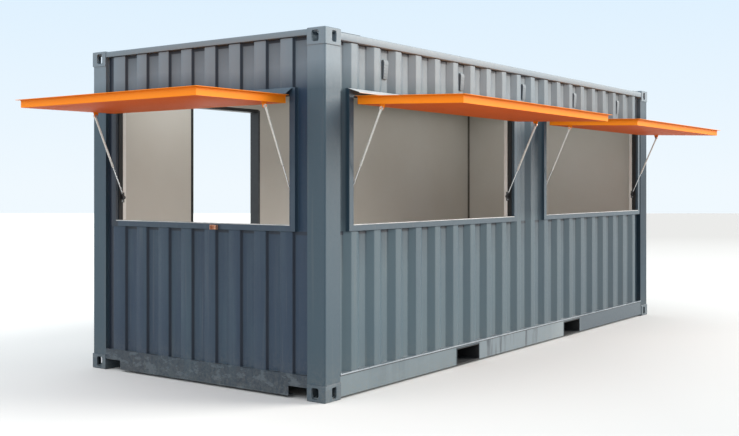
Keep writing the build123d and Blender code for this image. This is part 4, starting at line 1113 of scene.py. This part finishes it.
def cargoSteel():
    g = Gather()
    look = cargoLook
    low, high = look["low"] + look["hingeInset"], look["high"] - look["hingeInset"]
    pin = [(0.004, -0.050), (0.0085, -0.049), (0.0095, -0.046), (0.0095, -0.0452), (0.004, -0.0450)]
    cam = [(0.0155, 0.0), (0.0185, 0.002), (0.0185, 0.046), (0.0175, 0.050), (0.0155, 0.052)]
    for side in (-1, 1):
        for z in np.linspace(low, high, look["hinges"]):
            for way in (-1, 1):
                place = (look["face"] + look["pinOut"], side * (look["outer"] - look["pinIn"]), z)
                g.lathe(pin, place, (0, 0, way), 16)
            for inset in look["bolts"]:
                place = (look["face"] + look["boltOut"], side * (look["outer"] - inset), z)
                nutOn(g, place, (1, 0, 0), 0.018, 0.007)
        for bar in look["bars"]:
            y = side * bar
            for z, way in ((look["low"] + 0.001, 1), (look["high"] - 0.001, -1)):
                g.lathe(cam, (look["barX"], y, z), (0, 0, way), 24)
                for cheek in (-look["cheek"], look["cheek"]):
                    reach = sorted((z, z + way * look["cheekHigh"]))
                    upright(g, look["barX"] + 0.004, y + cheek, *reach, 0.034, 0.010)
            for z in look["bearings"]:
                for bolt in (-look["bearingBolt"], look["bearingBolt"]):
                    nutOn(g, (look["front"], y + bolt, z), (1, 0, 0), 0.012, 0.004)
    g.piece("cargo_door_hinge_pins_and_cams", zincSteel, "galvanised_steel", smooth=False)


def cargoHandles():
    # each handle runs from its bar towards the middle of the leaf and rests in a catch at its end
    g = Gather()
    look = handleLook
    z, (inner, outer) = look["z"], cargoLook["bars"]
    gripSection, arm = softBox(0.0165, 0.013, 0.005), softBox(0.040, 0.010, 0.002)
    for y, way in ((inner, 1), (outer, -1), (-inner, -1), (-outer, 1)):
        g.strip(carry([(look["x"], y + way * at, z) for at in look["grip"]], gripSection, (1, 0, 0)))
        end = y + way * look["catch"]
        for lift in (-look["lift"], look["lift"]):
            g.strip(carry([(x, end, z + lift) for x in look["catchX"]], arm, (0, 0, 1)))
        upright(g, look["latchX"], end, z - look["latchHalf"], z + look["latchHalf"], 0.003, 0.036)
    g.piece("cargo_door_handle_catches", zincSteel, "galvanised_steel")


# back doorway: a rubber seal round its steel frame, and two rosettes and a lock cylinder on the leaf
doorLook = dict(sealY=1.2150, sealX=(-1.996, -1.109), sealZ=(0.185, 2.211), lock=(-2.789, 1.275, 0.975),
                handleUp=0.075)


def doorwayTrims():
    g = Gather()
    y, (x0, x1), (z0, z1) = doorLook["sealY"], doorLook["sealX"], doorLook["sealZ"]
    section = softBox(0.010, 0.005, 0.002)
    line = [(x0, y, z0), (x0, y, z1), (x1, y, z1), (x1, y, z0)]
    for run in zip(line[:-1], line[1:]):
        g.strip(carry(resample(run, 0.5), section, (0, 1, 0)))
    g.piece("doorway_seal", sealRubber, "black_rubber")
    g = Gather()
    rose = [(0.010, -0.001), (0.0265, 0.0), (0.0260, 0.005), (0.023, 0.008), (0.010, 0.009)]
    barrel = [(0.002, 0.004), (0.0085, 0.004), (0.0085, 0.0125), (0.0078, 0.0135), (0.002, 0.0135)]
    lock = np.array(doorLook["lock"])
    g.lathe(rose, lock + (0, 0, doorLook["handleUp"]), (0, 1, 0), 32)
    g.lathe(rose, lock, (0, 1, 0), 32)
    g.lathe(barrel, lock, (0, 1, 0), 24)
    g.piece("door_leaf_rosettes", zincSteel, "galvanised_steel")


# roof: a plate welded beside each top casting
roofPlateLook = dict(x=(2.612, 2.848), y=1.098, z=2.5712, wide=0.228, thick=0.0034)


def roofPlates():
    g = Gather()
    look = roofPlateLook
    for sx in (-1, 1):
        for y in (-look["y"], look["y"]):
            start, end = ((sx * x, y, look["z"]) for x in look["x"])
            g.bar(start, end, softBox(look["wide"], look["thick"], 0.0012), (0, 0, 1))
    g.piece("roof_corner_plates", roofEnamel, "container_paint")


bracketBolts()
cargoRubber()
cargoSteel()
cargoHandles()
doorwayTrims()
roofPlates()
print("door fittings, bolts and roof plates")


# floor screws: countersunk heads with a dimple, in rows over the cross members
screwLook = dict(radius=0.0048, perRow=12, rows=19, across=1.03, along=2.70, stray=0.004)


def floorScrews():
    g = Gather()
    radius = screwLook["radius"]
    head = [(radius, -0.0006), (radius, 0.0003), (radius * 0.8, 0.0006), (radius * 0.35, 0.0006),
            (radius * 0.2, -0.0004)]
    for x in np.linspace(-screwLook["along"], screwLook["along"], screwLook["rows"]):
        for y in np.linspace(-screwLook["across"], screwLook["across"], screwLook["perRow"]):
            g.lathe(head, (x, y + dice.normal(0, screwLook["stray"]), shell["railTop"]), (0, 0, 1), 10)
    g.piece("floor_screws", zincSteel, "galvanised_steel")


floorScrews()
print("floor screws")


# flaps: a fillet weld between tray and skin, and an inset sheet under the tray in a darker, redder orange, painted
# shade
flapLook = dict(sideGap=0.010, hingeOut=0.014, hingeZ=2.130, sideDroop=2.0, endDroop=0.4, weld=0.0028,
                weldOut=0.0015, weldFrom=0.016, weldStep=0.004, ripple=0.012, swell=0.2, tip=0.8865,
                underDeep=0.0553, inset=0.014, tray=(0.030, 0.885))


def flapTrims(name, plan):
    look = flapLook
    droop = math.radians(look["endDroop"] if plan["turn"] else look["sideDroop"])
    left, right = plan["left"] + look["sideGap"], plan["right"] - look["sideGap"]
    hinge = plan["front"] - look["hingeOut"], look["hingeZ"]

    def hang(points):
        # (x, out, up) drawn level with the hinge at the origin, then turned down by the droop and placed
        points = np.asarray(points, float)
        y = points[..., 1] * math.cos(droop) + points[..., 2] * math.sin(droop)
        z = points[..., 1] * math.sin(droop) + points[..., 2] * math.cos(droop)
        return facing(np.stack([points[..., 0], y + hinge[0], z + hinge[1]], -1), plan["turn"])

    # radius(s) = weld * (1 + swell * |sin(pi s / ripple)|)
    out, near, tip = look["weldOut"], -look["weldFrom"], -look["tip"]
    x0, x1 = left - out, right + out
    path = resample([(x0, near, -out), (x0, tip, -out), (x1, tip, -out), (x1, near, -out)], look["weldStep"])
    s = np.arange(len(path)) * look["weldStep"]
    scale = 1 + look["swell"] * np.abs(np.sin(np.pi * s / look["ripple"]))
    g = Gather()
    g.strip(hang(carry(path, circle(look["weld"], 6), (0, 0, 1), scale)))
    g.piece(name + "_flap_edge_weld", flapOrange, "orange_paint", plan["body"] + "_flap")

    start, end = look["tray"]
    y = -(start + end) / 2
    run = [left + look["inset"], (left + right) / 2, right - look["inset"]]
    section = softBox(end - start - look["inset"], 0.0008, 0.0003, 2)
    under = Gather()
    under.strip(hang(carry([(x, y, -look["underDeep"]) for x in run], section, (0, 0, 1))))
    under.piece(name + "_flap_shaded_underside", flapUnderShadeOrange, "orange_paint", plan["body"] + "_flap")


for name, plan in hatchPlan.items():
    flapTrims(name, plan)
print("flap trims")


# floor and sky: pale grey ground up to a level horizon, pale blue above it
stageLook = dict(far=56.4, near=8.0, half=80.0, seenFar=srgb(184, 183, 182), seenMid=srgb(219, 220, 220),
                 seenNear=srgb(199, 201, 202), seenLeftLit=srgb(238, 240, 240), bounce=srgb(148, 146, 142))
skyLook = dict(light=(0.97, 0.99, 1.0), low=0.30, top=0.95, wing=1.35, wingSide=(-0.86, 0.34, 0.38),
               horizon=srgb(240, 249, 255), high=srgb(223, 241, 255), highFrom=0.18)
lampLook = dict(keyColour=(1.0, 0.965, 0.90), key=4.2, keySpread=40.0, keyElevation=23.0, keyBearing=46.0,
                room=11.0, doorEnd=10.0)


def groundSheet():
    # a flat sheet in the camera's own directions: forward from -near to far, sideways over +-half
    turn = math.radians(90 + cameraLook["turn"])
    ahead = np.array([math.cos(turn), math.sin(turn)])
    side = np.array([-ahead[1], ahead[0]])
    start = np.array(cameraLook["place"][:2])
    leftFrom = float(start @ side)
    near, far, half = -stageLook["near"], stageLook["far"], stageLook["half"]
    corners = [start + ahead * a + side * s for a, s in ((near, half), (near, -half), (far, -half), (far, half))]
    mesh = bpy.data.meshes.new("ground")
    mesh.from_pydata([(*c, 0.0) for c in corners], [], [(0, 1, 2, 3)])
    ground = show("ground", mesh)
    p = Paint("groundPale")

    def along(way):
        # a place's distance along a level direction
        return p.math("ADD", p.math("MULTIPLY", p.x, float(way[0])), p.math("MULTIPLY", p.y, float(way[1])))

    # seen directly it pales towards the viewer's side, and at the left it is painted lighter, painted light over
    # the container's shadow; other light finds a duller ground, so little bounces up
    pale = p.mix(p.span(along(ahead), 20.0, 1.0), stageLook["seenFar"], stageLook["seenMid"])
    pale = p.mix(p.span(along(ahead), 0.0, -4.0), pale, stageLook["seenNear"])
    pale = p.mix(p.span(along(side), leftFrom - 2.0, leftFrom + 6.0), pale, stageLook["seenLeftLit"])
    mesh.materials.append(p.finish(p.mix(p.seen(), stageLook["bounce"], pale), 0.9))


def skyWorld():
    # camera, glossy and transmission rays see the pale sky; the rest get white light, stronger from above
    # and from a broad wing of light beyond the blind end
    world = bpy.data.worlds.new("studioSky")
    bpy.context.scene.world = world
    world.use_nodes = True
    w = NodeTree(world.node_tree)
    place = w.add("ShaderNodeTexCoord").outputs["Generated"]
    height = w.split(place)[2]
    light, seen, ramp = w.tree.nodes["Background"], w.add("ShaderNodeBackground"), w.add("ShaderNodeValToRGB")
    toWing = w.add("ShaderNodeVectorMath", operation="DOT_PRODUCT")
    w.put(toWing.inputs[0], place)
    w.put(toWing.inputs[1], skyLook["wingSide"])
    rise = w.span(height, 0.0, 0.8, skyLook["low"], skyLook["top"])
    wing = w.span(toWing.outputs["Value"], 0.25, 0.95, 0.0, skyLook["wing"])
    w.put(light.inputs["Color"], skyLook["light"])
    w.put(light.inputs["Strength"], w.math("ADD", rise, wing))
    low, high = ramp.color_ramp.elements
    low.color, high.color = (*skyLook["horizon"], 1.0), (*skyLook["high"], 1.0)
    high.position = skyLook["highFrom"]
    w.put(ramp.inputs[0], height)
    w.put(seen.inputs["Color"], ramp.outputs[0])
    choose = w.add("ShaderNodeMixShader")
    for socket, value in zip(choose.inputs, (w.seen(), light.outputs[0], seen.outputs[0])):
        w.put(socket, value)
    w.put(w.tree.nodes["World Output"].inputs["Surface"], choose.outputs[0])


def lamp(kind, name, energy, place=(0.0, 0.0, 0.0), tilt=0.0, bearing=0.0, **settings):
    # it shines straight down, and a tilt raises its beam: with bearing 0 it then comes from -Y, with 90 from +X
    data = bpy.data.lights.new(name, kind)
    data.energy = energy
    for key, value in settings.items():
        setattr(data, key, value)
    made = show(name, data)
    made.location = place
    made.rotation_euler = (math.radians(tilt), 0, math.radians(bearing))


groundSheet()
skyWorld()
lamp("SUN", "keySun", lampLook["key"], tilt=90 - lampLook["keyElevation"], bearing=lampLook["keyBearing"],
     color=lampLook["keyColour"], angle=math.radians(lampLook["keySpread"]))
lamp("AREA", "roomPanel", lampLook["room"], (0.9, 0.0, 2.40), shape="RECTANGLE", size=3.6, size_y=1.8)
lamp("AREA", "doorwayPanel", lampLook["doorEnd"], (-2.2, 0.1, 2.40), shape="RECTANGLE", size=1.2, size_y=1.7)
print("stage and lamps")
